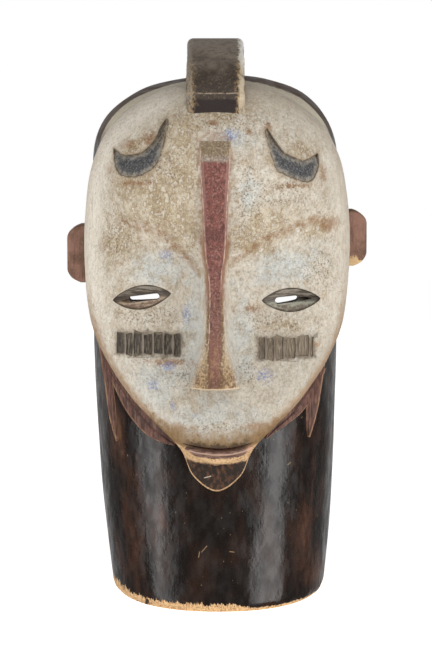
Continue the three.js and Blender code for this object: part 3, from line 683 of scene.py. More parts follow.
def kaolin_finish():
    white = Finish("kaolin_over_wood")
    colour, mottle, fleck, flake = kaolin_colour(white)
    brow = (1 - white.field("off_brow").rise(0, 1.5)) * (0.2 + 0.9 * mottle.rise(0.38, 0.62))
    inward = white.field("edge_in")
    streak = white.noise((2.4, 2.4, 34), 4, 0.6, seed=26).rise(0.5, 0.66)
    left_side = 0.4 + 0.6 * white.across.rise(0, -60)
    upper_half = 0.3 + 0.7 * white.height.rise(225, 285)
    jaw = white.height.ragged(mottle, 50).rise(300, 235)
    tan = inward.ragged(mottle, 16).ragged(fleck, 6).rise(11, 2) * (0.15 + 0.85 * jaw)
    off_crescent = white.field("in_crescent").size()
    rimmed = off_crescent.ragged(fleck, 2.4).rise(1.2, 0.2) * mottle.rise(0.36, 0.54)
    smudge = white.field("off_cheek").ragged(mottle, 14).ragged(fleck, 6).rise(3.6, -0.8)
    over = white.field("over_mouth")
    above_mouth = over.ragged(mottle, 22).ragged(fleck, 8).rise(20, 4)
    # the kaolin is darker in a band along the slit's upper edge
    dark_over_slit = over.ragged(fleck, 8).ragged(mottle, 9).rise(6.5, 2) * (white.across - 1).size().rise(32, 20)
    bare_lip = over.ragged(fleck, 4).ragged(mottle, 3).rise(-2, -4)
    lip_wood = white.mix(fleck.rise(0.5, 0.6) * 0.6, UPPER_LIP_WOOD, UPPER_LIP_GRAIN)
    chin = over.ragged(mottle, 5).ragged(fleck, 3).rise(-12.5, -15)
    chin_colour = white.mix(white.noise((3, 3, 5), 5, 0.65, seed=27).rise(0.48, 0.64), CHIN_DARK, CHIN_BROWN)
    chin_colour = white.mix(scratch(white, -8, 123.5, 15, 6), chin_colour, CHIN_SCRATCH)
    relief = 0.5 * mottle + 0.3 * fleck + 0.35 * flake
    colour = white.painted(
        colour,
        (brow * 0.75, BROWN_STAIN_AND_FLAKE_SHADOW),
        # painted light: the kaolin whitens towards the outline, most on the left and up high, where the face
        # turns away
        (inward.rise(28, 8) * left_side * upper_half, EDGE_PAINTED_LIGHT),
        (streak * inward.rise(26, 4) * 0.4, EDGE_STREAK),
        (tan * 0.8, EDGE_TAN),
        (inward.ragged(fleck, 1.6).rise(1.2, 0.3), white.mix(jaw, WORN_EDGE, WORN_JAW)),
        (off_crescent.ragged(mottle, 9).rise(4, 0) * 0.5, CRESCENT_HALO),
        (rimmed * 0.8, CRESCENT_RIM),
        # painted shade beside the nose bar
        (nose_flank_shade(white, mottle), NOSE_FLANK_SHADE),
        (smudge * 0.8, CHEEK_SMUDGE),
        (above_mouth * 0.9, MOUTH_STAIN),
        (dark_over_slit * 0.85, MOUTH_DARK_EDGE),
        (bare_lip, lip_wood),
        (chin * inward.rise(0.6, 1.5), chin_colour),
    )
    return white.done(colour, 0.62 + 0.2 * mottle - 0.2 * chin, relief, depth=1, specular=0.35)


def nearest(line, across, height, steps=8):
    """For each place, the nearest point of a line of (across, height, half width) points.

    Gives how far off it the place is, more than 0 to the line's left, how far along the line it lies, from 0
    to 1, and the half width there.
    """
    points = smooth_line(line, steps)
    start, run = points[:-1], np.diff(points, axis=0)
    place = np.stack([across, height], -1)[:, None]
    share = np.clip(((place - start[:, :2]) * run[:, :2]).sum(-1) / (run[:, :2] ** 2).sum(-1), 0, 1)
    gap = place - (start[:, :2] + share[..., None] * run[:, :2])
    off = np.hypot(gap[..., 0], gap[..., 1])
    best = off.argmin(1)
    rows = np.arange(len(best))
    share, gap = share[rows, best], gap[rows, best]
    side = np.where(run[best, 0] * gap[:, 1] > run[best, 1] * gap[:, 0], 1, -1)
    return side * off[rows, best], (best + share) / len(run), start[best, 2] + share * run[best, 2]


def off_lines(lines, across, height):
    """How far each place is from the nearest of some lines, in half widths of the line there."""
    found = [nearest(line, across, height) for line in lines]
    return np.min([np.abs(off) / half for off, _, half in found], axis=0)


def edge_in(across, depth, height):
    return outline_towards(direction(across, height))[0] - np.hypot(across, height - FACE_CENTRE)


def spotted(places):
    """A field of soft spots."""
    return lambda across, depth, height: spots(across, height, places)


def beside_face(across, depth, height):
    """How far inside the face's outline each place of the dome is, seen from in front, close behind it."""
    behind = 30 * smoothstep(depth, 48, 22) + 60 * smoothstep(depth, 10, -20)
    return edge_in(across, depth, height) - behind


fields["cool"] = spotted(COOL_SPOTS)
fields["stained"] = spotted(STAINED_SPOTS)
fields["specked"] = spotted(SPECKED_SPOTS)
fields["browned"] = spotted(BROWNED_SPOTS)
fields["blue"] = spotted(BLUE_SPOTS)
fields["off_brow"] = lambda across, depth, height: off_lines(BROW_LINES, across, height)
fields["edge_in"] = edge_in
fields["beside_face"] = beside_face
standing.append(face_body(kaolin_finish()))

# The nose bar.
# A raised bar of the same wood, from a mitred top on the forehead down to the flat underside of the nose. Its
# crown is painted red, and its bevels widen into the wings of the nose.
NOSE = [  # height, the half widths of crown, bevel and foot, the crown's depth and the bevel's fall
    (203, 7.2, 20.4, 22.5, 160, 10), (212, 7.0, 18.6, 21.8, 159, 9), (224, 6.6, 14.0, 20.5, 157.5, 6.5),
    (237, 5.8, 10.0, 18.8, 155.5, 3.6), (250, 4.8, 7.6, 17.2, 154, 2.6), (268, 4.2, 6.7, 15.5, 151.5, 2.2),
    (288, 4.2, 5.4, 13.8, 149, 2.2), (304, 5.4, 6.4, 13.0, 146, 3), (313, 6.3, 8.2, 12.6, 145, 5),
    (339, 7.6, 9.8, 12.4, 143.5, 5), (363, 7.6, 10.9, 13.2, 144.5, 4.5), (391, 9.0, 12.8, 14.6, 143.5, 4),
    (400, 9.2, 13.0, 14.8, 142.7, 4), (401.5, 9.7, 13.0, 14.8, 141.8, 3.5), (411, 12.8, 13.1, 15.0, 136, 0.3),
]
NOSE_RINGS = 120
NOSE_ROOT = 4  # how far its foot reaches into the face
NOSE_EDGE = 0.4  # the softening of its two edges
NOSE_ACROSS = -1.6  # it stands a little to one side
NOSE_TIP = 159.5  # the mask is measured to the tip, so forward of this nothing is uneven
NOSE_RED = (124, 72, 62)
NOSE_PURPLE = (120, 80, 67)
NOSE_CRUMBLED = (80, 48, 42)
NOSE_FLECK = (176, 134, 122)
NOSE_RUBBED = (162, 122, 84)
NOSE_MAROON = (84, 46, 44)
NOSE_SOOT = (76, 50, 40)
NOSE_LINE = (214, 186, 166)
BEVEL_PINK = (168, 128, 118)
BEVEL_OCHRE = (182, 152, 108)
BEVEL_CREAM = (208, 190, 158)
WING_TAN = (166, 138, 100)
WING_BROWN = (104, 72, 46)
WING_CRUMB = (112, 80, 50)
WING_SPECK = (86, 60, 38)
WING_FLAKE = (214, 190, 158)
NOSE_TOP_GREY = (140, 124, 112)
NOSE_TOP_OLIVE = (138, 118, 90)
NOSE_TOP_CRUMB = (98, 80, 66)
NOSE_TOP_FLAKE = (196, 182, 160)


def nose_body(finish):
    rings = []
    for height in np.linspace(NOSE[0][0], NOSE[-1][0], NOSE_RINGS):
        crown, bevel, foot, depth, fall = (float(along(NOSE, height, column)) for column in range(1, 6))
        edge = min(NOSE_EDGE, (bevel - crown) / 4)
        slope = fall / (bevel - crown)
        root = min(float(face_depth(foot, height)), depth - fall) - NOSE_ROOT
        half = [(foot, root), ((foot + bevel) / 2, (root + depth - fall) / 2)]
        half += [(bevel + 0.2, depth - fall - 0.6), (bevel - edge, depth - fall + edge * slope)]
        half += [((crown + bevel) / 2, depth - fall / 2)]
        half += [(crown + edge, depth - edge * slope), (crown - edge, depth), (crown / 2, depth)]
        both = half + [(-across, d) for across, d in reversed(half)]
        rings.append([(NOSE_ACROSS + across, -d, height) for across, d in both])
    return loft("nose_bar", rings, finish, nose_worn)


def nose_worn(points):
    """The unevenness of the bar, but for the tip, which is the foremost place of the whole mask."""
    return np.where(points[:, 1] > -NOSE_TIP, 0.35 * lumps(points, (9, 30, 22), 7), 0)


def nose_finish():
    red = Finish("red_painted_nose")
    height, outside = red.height, red.field("off_bevel")
    kaolin, mottle, fleck, _ = kaolin_colour(red)
    crumbly = red.noise((2.4, 2.4, 3.2), 4, 0.65, seed=34)
    low_down = height.ragged(mottle, 60).rise(310, 262)
    rubbed = height.ragged(mottle, 30).rise(262, 222) * crumbly.rise(0.48, 0.56)
    maroon = (height - 333).ragged(mottle, 24).size().rise(10, 2) * 0.5
    side = (red.field("off_crown") + 3 * height.rise(250, 218)).ragged(mottle, 1.4).ragged(fleck, 1)
    colour = red.painted(
        red.mix(low_down, NOSE_RED, NOSE_PURPLE),
        (crumbly.rise(0.46, 0.58) * 0.75, NOSE_CRUMBLED),
        (fleck.rise(0.5, 0.62) * 0.5, NOSE_FLECK),
        (rubbed * 0.6, NOSE_RUBBED),
        (maroon, NOSE_MAROON),
    )
    high_bevel = red.mix(0.45, colour, BEVEL_PINK)
    base = height.ragged(mottle, 40).rise(232, 208)
    beside_crown = side.ragged(crumbly, 9).ragged(mottle, 4).rise(4.4, 0.8)
    low_bevel = red.painted(
        red.mix(crumbly.rise(0.42, 0.58), BEVEL_OCHRE, BEVEL_CREAM),
        (base * 0.7, WING_TAN),
        (beside_crown * 0.9, WING_BROWN),
        (crumbly.rise(0.43, 0.55) * (0.4 + 0.5 * base), WING_CRUMB),
        (fleck.rise(0.5, 0.58) * 0.55, WING_SPECK),
        (fleck.rise(0.44, 0.36) * 0.5, WING_FLAKE),
    )
    bevel = red.mix(height.ragged(mottle, 40).rise(296, 266), high_bevel, low_bevel)
    sooty = height.ragged(mottle, 24).rise(226, 208) * red.noise((2, 2, 9), 4, 0.6, seed=33).rise(0.44, 0.58)
    outer_line = (outside + 0.5).size().rise(0.7, 0.2) * height.rise(282, 300)
    left_line = (red.field("off_crown") - 0.2).size().rise(0.6, 0.2) * red.across.rise(0, -3)
    left_line = left_line * height.rise(300, 285) * height.rise(228, 246)
    top = red.painted(
        red.mix(height.ragged(crumbly, 5).rise(397, 400), NOSE_TOP_GREY, NOSE_TOP_OLIVE),
        (crumbly.rise(0.48, 0.6) * 0.6, NOSE_TOP_CRUMB),
        (fleck.rise(0.5, 0.6) * 0.5, NOSE_TOP_FLAKE),
    )
    colour = red.painted(
        colour,
        (sooty * 0.6, NOSE_SOOT),
        (side.rise(0, 0.8), bevel),
        (height.ragged(crumbly, 5).rise(392.5, 395), top),
        ((outer_line + left_line) * (0.15 + 0.7 * mottle.rise(0.42, 0.56)), NOSE_LINE),
        (outside.ragged(mottle, 2.4).rise(0, 1), kaolin),
        (outside.rise(-5, 0.5) * (1 - beside_crown) * height.rise(266, 240) * 0.6, kaolin),
        # painted shade beside the nose bar
        (nose_flank_shade(red, mottle) * outside.rise(-0.4, 0.4), NOSE_FLANK_SHADE),
        (height.ragged(fleck, 1.2).rise(204.6, 203.6) * 0.8, WING_FLAKE),
    )
    return red.done(colour, 0.5 + 0.2 * mottle, 0.5 * mottle + 0.4 * fleck, depth=0.8, specular=0.4)


def nose_side(column):
    """A field of how far each place is outside that width of the nose bar, or past one of its ends."""
    def off(across, depth, height):
        past_end = np.maximum(0, np.maximum(NOSE[0][0] - height, height - NOSE[-1][0]))
        return np.abs(across - NOSE_ACROSS) - along(NOSE, height, column) + past_end
    return off


fields["off_crown"] = nose_side(1)
fields["off_bevel"] = nose_side(2)
standing.append(nose_body(nose_finish()))

# The mouth.
# A thin slit that turns up at its corners, over a lower lip that stands out from the small chin. The lip is
# rubbed through to the wood below, and the slit and the kaolin along its upper edge are dark.
MOUTH_SLIT = [  # across, height and half width, as in the lip
    (-29, 153, 0.5), (-11, 149.6, 1.8), (2, 148.4, 2), (15, 149.6, 1.8), (32, 154, 0.5),
]
MOUTH_MIDDLE = 1.5
MOUTH_HALF_WIDTH = 30
MOUTH_DEPTH = 3
LOWER_LIP = [(-26, 150, 0.6), (-13, 144, 4.8), (1.5, 141, 6.4), (16, 144, 4.8), (29.5, 151, 0.6)]
LIP_RELIEF = 3.5
LIP_CROWN = [(-0.8, 0.62), (-0.35, 1), (0.3, 0.98), (0.9, 0.8)]  # its section: share across, share of relief
CUT_CLEAR = 5  # how far what cuts the surface stands out over it
RAISED_ROOT = -5  # and how far what is raised from it reaches in
LIP_PURPLE = (122, 94, 80)
LIP_SHADE = (88, 60, 49)
LIP_HIGHLIGHT = (190, 156, 134)
LIP_BARE = (208, 172, 128)
LIP_BARE_GRAIN = (132, 94, 62)
LIP_CORNER = (206, 160, 128)
LIP_FOOT = (66, 48, 36)
MOUTH_DARK = (58, 32, 26)
MOUTH_RED = (92, 52, 40)


def on_surface(depth_at, across, height, raised):
    """Places on a carved surface, raised from it square to its slope."""
    step = 0.5
    aside = (depth_at(across + step, height) - depth_at(across - step, height)) / (2 * step)
    upward = (depth_at(across, height + step) - depth_at(across, height - step)) / (2 * step)
    square = np.stack([-aside, -np.ones_like(aside), -upward], -1)
    square /= np.linalg.norm(square, axis=-1, keepdims=True)
    return np.stack([across, -depth_at(across, height), height], -1) + square * raised


def band(name, depth_at, line, section, steps, finish, uneven=None):
    """A body that follows a surface along (across, height, half width) points, with one section all along."""
    points = smooth_line(line, steps)
    ahead = np.gradient(points[:, :2], axis=0)
    ahead /= np.linalg.norm(ahead, axis=1, keepdims=True)
    rings = []
    for share, raised in section:
        aside = share * points[:, 2]
        across, height = points[:, 0] - ahead[:, 1] * aside, points[:, 1] + ahead[:, 0] * aside
        rings.append(on_surface(depth_at, across, height, raised))
    return loft(name, np.stack(rings, 1), finish, uneven)


def lip_finish():
    purple = Finish("stained_lower_lip")
    mottle = purple.noise((6, 4, 2), 4, 0.6, seed=41)
    fleck = purple.noise(1.6, 3, 0.7, seed=42)
    over = purple.field("over_mouth")
    below = over.ragged(fleck, 3).ragged(mottle, 2).rise(-7.6, -9)
    corner = purple.across.ragged(mottle, 8).rise(23, 28)
    chin = over.ragged(mottle, 3).ragged(fleck, 2).rise(-12.5, -14.5)
    colour = purple.painted(
        purple.mix(mottle.rise(0.4, 0.6), LIP_PURPLE, LIP_SHADE),
        # painted highlight: a light line along the upper side of the lip
        ((over + 4.6).ragged(mottle, 1.5).size().rise(1, 0.3) * 0.7, LIP_HIGHLIGHT),
        (below, purple.mix(fleck.rise(0.5, 0.6) * 0.5, LIP_BARE, LIP_BARE_GRAIN)),
        (corner * 0.8, LIP_CORNER),
        (chin, LIP_FOOT),
    )
    return purple.done(colour, 0.5 + 0.2 * mottle, mottle, depth=0.5, specular=0.4)


def cut_finish(name, patches, seed, rise, under, over):
    """The dull finish of a narrow cut: one colour over another, in patches of that size in mm."""
    cut = Finish(name)
    return cut.done(cut.mix(cut.noise(patches, seed=seed).rise(*rise), under, over), 0.7, specular=0.3)


def cut_section(depth, *shares):
    """The section of a shallow cut: open over the surface, with its floor at those shares across."""
    return [(-1, CUT_CLEAR), (1, CUT_CLEAR), *[(share, -depth) for share in shares]]


def over_mouth(across, depth, height):
    """The height over the line of the mouth, which runs on past the two corners at the same slope."""
    past_corner = np.maximum(0, np.abs(across - MOUTH_MIDDLE) - MOUTH_HALF_WIDTH)
    return height - along([(x, z) for x, z, _ in MOUTH_SLIT], across) - 0.35 * past_corner


fields["over_mouth"] = over_mouth
lip_crown = [(share, LIP_RELIEF * rise) for share, rise in LIP_CROWN]
lip_section = [(-1, RAISED_ROOT), (-1, 0.4), *lip_crown, (1, RAISED_ROOT)]
standing.append(band("lower_lip", face_depth, LOWER_LIP, lip_section, 12, lip_finish()))
mouth_dark = cut_finish("dark_mouth_slit", 3, 43, (0.4, 0.6), MOUTH_DARK, MOUTH_RED)
mouth_section = cut_section(MOUTH_DEPTH, 0)
cut_away.append(band("mouth_slit", face_depth, MOUTH_SLIT, mouth_section, 12, mouth_dark))

# The notch in the rim.
# A small chip that is missing from the front of the rim, left of the middle.
cut_away.append(band("rim_notch", shell_depth, NOTCH, cut_section(NOTCH_DEPTH, 0.5, -0.5), 4, neck_wood))

# The eyes.
# Each is an almond of two bevels that run in to a slit. The slit is cut through to the hollow near the nose,
# and runs on towards the outer corner as a dark groove.
EYES = [  # the inner and outer corner, the two ends of the slit, half its height, and the groove's far end
    dict(
        corners=((-39.5, 280), (-89.5, 273.5)),
        slit=((-49.5, 276.9), (-76, 273.4)),
        slit_half=2.5,
        groove=(-85, 272.8),
    ),
    dict(
        corners=((38.5, 274), (89, 275)),
        slit=((50, 272.6), (70, 274.6)),
        slit_half=2.7,
        groove=(84, 275.4),
    ),
]
EYE_HALF_HEIGHT = 10.4
EYE_CORNER_HALF_HEIGHT = 0.4
EYE_ROUNDNESS = 0.8  # under 1, the almond is fuller than a sine curve
EYE_STATIONS = 37
EYE_FUNNEL = 10  # how deep the bevels run in before the slit
EYE_SLIT_DEPTHS = (60, 120)  # from inside the hollow to inside the bevels
EYE_GROOVE_DEPTH = 4
EYE_UPPER_SHADED = (98, 90, 80)
EYE_LID_STRIPE = (170, 160, 146)
EYE_LOWER_LIT_WARM = (204, 182, 158)
EYE_LOWER_LIT_COOL = (190, 190, 172)
EYE_STAIN = (112, 84, 70)
EYE_SPECK = (70, 56, 46)
EYE_LINE = (66, 50, 40)
EYE_RIM = (62, 50, 40)
EYE_SLIT_DARK = (38, 30, 26)
EYE_SLIT_BROWN = (70, 52, 40)


def almond(share):
    """Half the height of an eye's opening, at a share of the way from its inner to its outer corner."""
    opened = np.sin(np.pi * np.clip(share, 0, 1)) ** EYE_ROUNDNESS
    return EYE_CORNER_HALF_HEIGHT + (EYE_HALF_HEIGHT - EYE_CORNER_HALF_HEIGHT) * opened


def eye_bevels(inner, outer, slit_half, finish):
    """The almond opening, which narrows from the face to the slit and runs out towards its corners."""
    rings = []
    for share in np.linspace(0, 1, EYE_STATIONS):
        across, height = inner + (outer - inner) * share
        half = almond(share)
        floor, narrow = min(EYE_FUNNEL, half * 1.1), min(slit_half, half * 0.4)
        upper = [(half + 2, 3), (half, 0), ((half + narrow) / 2, -floor * 0.62), (narrow, -floor)]
        both = upper + [(-aside, raised) for aside, raised in reversed(upper)]
        heights = [height + aside for aside, _ in both]
        rings.append([(across, -face_depth(across, z) - raised, z) for z, (_, raised) in zip(heights, both)])
    return loft("eye_bevels", rings, finish)


def eye_slit(near, far, half, finish):
    """The slit right through, with round ends."""
    ahead = (far - near) / np.linalg.norm(far - near)
    upward = np.array([-ahead[1], ahead[0]])
    turns = np.linspace(-np.pi / 2, np.pi / 2, 9)
    outline = [far + half * ((np.cos(turn) - 1) * ahead + np.sin(turn) * upward) for turn in turns]
    outline += [near - half * ((np.cos(turn) - 1) * ahead + np.sin(turn) * upward) for turn in turns]
    rings = [[(x, -depth, z) for x, z in outline] for depth in EYE_SLIT_DEPTHS]
    return loft("eye_slit", rings, finish)


def eye_cuts(corners, slit, slit_half, groove, bevel_finish, slit_finish):
    (inner, outer), (near, far) = np.array(corners, float), np.array(slit, float)
    start = far + (near - far) * 0.15
    line = [(*start, slit_half), (*((far + groove) / 2), slit_half * 0.7), (*groove, 0.4)]
    floor = -EYE_FUNNEL - EYE_GROOVE_DEPTH
    section = [(-1, 0), (1, 0), (0.7, floor), (-0.7, floor)]
    bevels = eye_bevels(inner, outer, slit_half, bevel_finish)
    through = eye_slit(near, far, slit_half, slit_finish)
    return [bevels, through, band("eye_groove", face_depth, line, section, 6, bevel_finish)]


def eye_finish():
    grey = Finish("grey_eye_bevels")
    mottle = grey.noise((4, 4, 4), 4, 0.6, seed=51)
    fleck = grey.noise(1.5, 3, 0.7, seed=52)
    striped = grey.noise((12, 6, 1.4), 3, seed=54)
    under = grey.field("under_eye_line")
    # painted shade and light: the upper bevel, which faces down, is darker, and the lower one, which faces
    # up, lighter
    upper = grey.mix(striped.rise(0.4, 0.6), EYE_UPPER_SHADED, EYE_LID_STRIPE)
    lower = grey.mix(grey.across.rise(-5, 5), EYE_LOWER_LIT_WARM, EYE_LOWER_LIT_COOL)
    lower = grey.mix((mottle + 0.2 * (under - 7).rise(-3, 0)).rise(0.52, 0.7) * 0.7, lower, EYE_STAIN)
    rim = grey.field("off_eye_rim").ragged(fleck, 0.8).rise(-2, -0.4)
    colour = grey.painted(
        grey.mix(under.ragged(mottle, 1.5).rise(0, 2), upper, lower),
        (fleck.rise(0.54, 0.64) * 0.4, EYE_SPECK),
        (under.size().rise(3.4, 1.6) * 0.75, EYE_LINE),
        (rim * 0.8, EYE_RIM),
    )
    return grey.done(colour, 0.45 + 0.2 * mottle, mottle, depth=0.5, specular=0.45)


def eye_place(across, height):
    """For each place, its distance under the line between the eye's corners, and outside the almond."""
    found = []
    for eye in EYES:
        (x0, z0), (x1, z1) = eye["corners"]
        share = (across - x0) / (x1 - x0)
        above = height - z0 - (z1 - z0) * share
        past_corner = 60 * np.abs(share - np.clip(share, 0, 1))
        found.append((-above, np.abs(above) - almond(share) + past_corner))
    left = across < 0
    return [np.where(left, *pair) for pair in zip(*found)]


fields["under_eye_line"] = lambda across, depth, height: eye_place(across, height)[0]
fields["off_eye_rim"] = lambda across, depth, height: eye_place(across, height)[1]
bevel_grey = eye_finish()
slit_dark = cut_finish("dark_eye_slit", 3, 53, (0.4, 0.65), EYE_SLIT_DARK, EYE_SLIT_BROWN)
for eye in EYES:
    cut_away += eye_cuts(**eye, bevel_finish=bevel_grey, slit_finish=slit_dark)

# The two sunk crescents.
# Each is scooped out of the forehead, with a sharp step at its upper edge, and painted blue grey inside a
# thin dark outline.
CRESCENTS = [  # across and height at the lower edge and at the upper one, from the outer end to the tip
    [
        (-88.2, 393, -88.4, 403.7), (-85.3, 385.4, -84.6, 400.6), (-79.1, 380.7, -78.3, 397.9),
        (-63.4, 382.1, -64.4, 400.4), (-49.5, 394.5, -54.1, 409.8), (-42.3, 420.5, -45.7, 425.7),
        (-41.5, 428, -42.5, 429),
    ],
    [
        (87.3, 390, 86, 399), (82.6, 378.8, 78.3, 395), (74.7, 376.1, 71.7, 394), (57.4, 382.6, 59.2, 399.3),
        (49.7, 388.2, 54.5, 403.1), (43.2, 408, 46.5, 414.5), (41, 419, 42.5, 421),
    ],
]
CRESCENT_DEEP = 2.4  # at the upper edge
CRESCENT_SHALLOW = 0.6  # at the lower edge
CRESCENT_SLOPE = 0.35  # the most that it is deep for its width, where it narrows
CRESCENT_SHARES = (1, 0.85, 0.65, 0.45, 0.25, 0.1, 0)  # of the way from the lower to the upper edge
SLATE_PALE = (146, 140, 128)
SLATE_GREY = (104, 99, 92)
SLATE_BLUE = (60, 59, 61)
SLATE_FLECK = (138, 138, 138)
SLATE_BLACK = (42, 40, 42)
SLATE_MARGIN = (158, 143, 120)
SLATE_LINE = (66, 52, 42)
ARM_DARK = (70, 60, 50)
ARM_PALE = (122, 108, 90)


def crescent_edges(rows):
    """The lower and the upper edge of a crescent. The third column is only there for `nearest`."""
    rows = np.array(rows, float)
    return [smooth_line(np.column_stack([rows[:, k:k + 2], np.ones(len(rows))]), 10) for k in (0, 2)]


def crescent_cut(rows, finish):
    """A channel between the two edges, with a sharp step at the upper one."""
    lower, upper = crescent_edges(rows)
    width = np.hypot(*(upper - lower)[:, :2].T)
    deep = np.minimum(CRESCENT_DEEP, CRESCENT_SLOPE * width)
    shallow = np.minimum(CRESCENT_SHALLOW, deep)
    clear = np.full_like(deep, -CUT_CLEAR)
    section = [(0, clear), (1, clear)]
    section += [(share, shallow + (deep - shallow) * share ** 0.6) for share in CRESCENT_SHARES]
    rings = []
    for share, sunk in section:
        across, height = (lower + (upper - lower) * share)[:, :2].T
        step = on_surface(face_depth, across, height, -1) - on_surface(face_depth, across, height, 0)
        rings.append(on_surface(face_depth, across, height, 0) + step * sunk[:, None])
    return loft("crescent", np.stack(rings, 1), finish)


def crescent_finish():
    slate = Finish("blue_grey_crescents")
    mottle = slate.noise((4, 4, 4), 5, 0.65, seed=61)
    fleck = slate.noise(1.5, 3, 0.7, seed=62)
    off_edge = slate.field("in_crescent")
    inward = off_edge.ragged(mottle, 4).ragged(fleck, 3)
    arm = slate.height.ragged(mottle, 12).rise(402, 414)
    rimmed = off_edge.ragged(fleck, 2.4).rise(1, 0.1) * mottle.rise(0.36, 0.54)
    colour = slate.painted(
        slate.mix(mottle.rise(0.4, 0.6), SLATE_PALE, SLATE_GREY),
        (inward.rise(1.8, 5) * 0.92, SLATE_BLUE),
        (fleck.rise(0.5, 0.6) * 0.45, SLATE_FLECK),
        (fleck.rise(0.46, 0.38) * 0.7, SLATE_BLACK),
        (arm * 0.8, slate.mix(fleck.rise(0.44, 0.56), ARM_DARK, ARM_PALE)),
        (inward.rise(2, 0) * 0.85, SLATE_MARGIN),
        (rimmed * 0.8, SLATE_LINE),
    )
    return slate.done(colour, 0.55 + 0.2 * mottle, 0.5 * mottle + 0.4 * fleck, depth=0.8, specular=0.4)


def enclosed(outline, across, height):
    """Whether each place lies inside a closed outline of (across, height, ...) points."""
    x0, z0 = outline[:, :2].T
    x1, z1 = np.roll(outline, -1, 0)[:, :2].T
    z = height[:, None]
    crossing = x0 + (z - z0) / np.where(z1 == z0, 1, z1 - z0) * (x1 - x0)
    return (((z0 > z) != (z1 > z)) & (across[:, None] < crossing)).sum(1) % 2 == 1


def in_crescent(across, depth, height):
    """How far each place is inside the outline of the crescent on its side of the face."""
    found = []
    for rows in CRESCENTS:
        lower, upper = crescent_edges(rows)
        outline = np.vstack([lower, upper[::-1]])
        off = np.abs(nearest(np.vstack([outline, outline[:1]]), across, height, 1)[0])
        found.append(np.where(enclosed(outline, across, height), off, -off))
    return np.where(across < 0, *found)


fields["in_crescent"] = in_crescent
crescent_paint = crescent_finish()
cut_away += [crescent_cut(rows, crescent_paint) for rows in CRESCENTS]

# The cheek marks.
# A dark patch of shallow upright panels on each cheek, with thin ridges left between them and a scored line
# below. The right one is more worn.
CHEEK_MARKS = [  # the sides are the places across of the ridges beside and between the panels
    dict(low=228, high=246.5, sides=(-87, -78.8, -71.8, -63.2, -54.6, -45.8, -37.6, -30.5)),
    dict(low=225, high=243, sides=(35, 42, 49.4, 57.8, 68, 79.8, 83.5)),
]
CHEEK_MARK_DEPTH = 1
CHEEK_MARK_RIDGE = 0.9
PANEL_GREY = (84, 76, 66)
PANEL_DARK = (58, 51, 44)
PANEL_WORN = (132, 116, 96)
PANEL_SCRATCH = (156, 142, 120)
PANEL_GRAIN = (58, 48, 40)
PANEL_FADED = (140, 126, 106)
SCORED_PALE = (214, 192, 172)
SCORED_BROWN = (140, 112, 92)
SCORED_LINES = [
    [(-76, 224.8, 0.5), (-52, 226.2, 0.7), (-32, 227, 0.4)],
    [(40, 224.4, 0.5), (54, 223.4, 0.8), (68, 221.8, 0.5)],
]


def cheek_mark_cuts(low, high, sides, finish):
    section = cut_section(CHEEK_MARK_DEPTH, 0.9, -0.9)
    cuts = []
    for i, (left, right) in enumerate(zip(sides, sides[1:])):
        middle, half = (left + right) / 2, (right - left - CHEEK_MARK_RIDGE) / 2
        lean = 0.6 * np.sin(2.3 * i)
        foot = low + 1.3 * np.sin(5.1 * i)
        head = high + 1.3 * np.sin(3.7 * i)
        line = [(middle - lean, foot, half * 0.94), (middle, foot + 2, half)]
        line += [(middle + lean, (low + high) / 2, half)]
        line += [(middle, head - 2, half), (middle - lean, head, half * 0.94)]
        cuts.append(band("cheek_panel", face_depth, line, section, 6, finish))
    return cuts


def cheek_finish():
    dark = Finish("dark_cheek_panels")
    mottle = dark.noise((3, 3, 5), 4, 0.65, seed=71)
    scratched = dark.noise((0.9, 0.9, 18), 3, 0.6, seed=72)
    right = dark.across.ragged(mottle, 40).rise(20, 50)
    faded = dark.field("off_cheek").ragged(mottle, 8).rise(-1.6, 0.8)
    colour = dark.painted(
        dark.mix(mottle.rise(0.4, 0.6), PANEL_GREY, PANEL_DARK),
        (right * 0.6, PANEL_WORN),
        (scratched.rise(0.52, 0.62) * (0.35 + 0.4 * right), PANEL_SCRATCH),
        (scratched.rise(0.46, 0.38) * 0.5, PANEL_GRAIN),
        (faded * 0.6, PANEL_FADED),
    )
    return dark.done(colour, 0.6 + 0.2 * mottle, mottle, depth=0.5, specular=0.35)


def off_cheek(across, depth, height):
    """How far each place is outside the patch of marks on its side of the face."""
    found = []
    for mark in CHEEK_MARKS:
        low, high, sides = mark["low"], mark["high"], mark["sides"]
        aside = np.abs(across - (sides[0] + sides[-1]) / 2) - (sides[-1] - sides[0]) / 2
        found.append(np.maximum(aside, np.abs(height - (low + high) / 2) - (high - low) / 2))
    return np.where(across < 0, *found)


fields["off_cheek"] = off_cheek
scored = cut_finish("scored_lines", (6, 6, 1), 73, (0.42, 0.6), SCORED_PALE, SCORED_BROWN)
for line in SCORED_LINES:
    cut_away.append(band("scored_line", face_depth, line, cut_section(CHEEK_MARK_DEPTH, 0.2), 12, scored))
cheek_paint = cheek_finish()
for mark in CHEEK_MARKS:
    cut_away += cheek_mark_cuts(**mark, finish=cheek_paint)

# The tabs on the neck.
# Low tongues of wood that hang below the edge of the face on each side, grooved along the middle and painted
# red brown.
TABS = [  # across, height and half width, down each tab
    [(-101, 230, 3.5), (-94.5, 190, 3.6), (-92, 169, 3.3), (-90, 157, 1.9), (-87, 145, 0.5)],
    [(-98, 217, 2), (-89, 201, 4.2), (-74, 180, 8.2), (-58, 163, 8.5), (-44, 154, 5.8), (-36, 148.5, 1.5)],
    [(91, 214, 4), (87, 192, 4.8), (84, 177, 5.4), (82, 164, 3.8), (80, 150, 0.6)],
    [(93, 209, 3), (82, 193, 7), (70, 178, 6.6), (60, 169, 5), (50.5, 162, 3.8), (42, 153.5, 1)],
]
TAB_RELIEF = 2
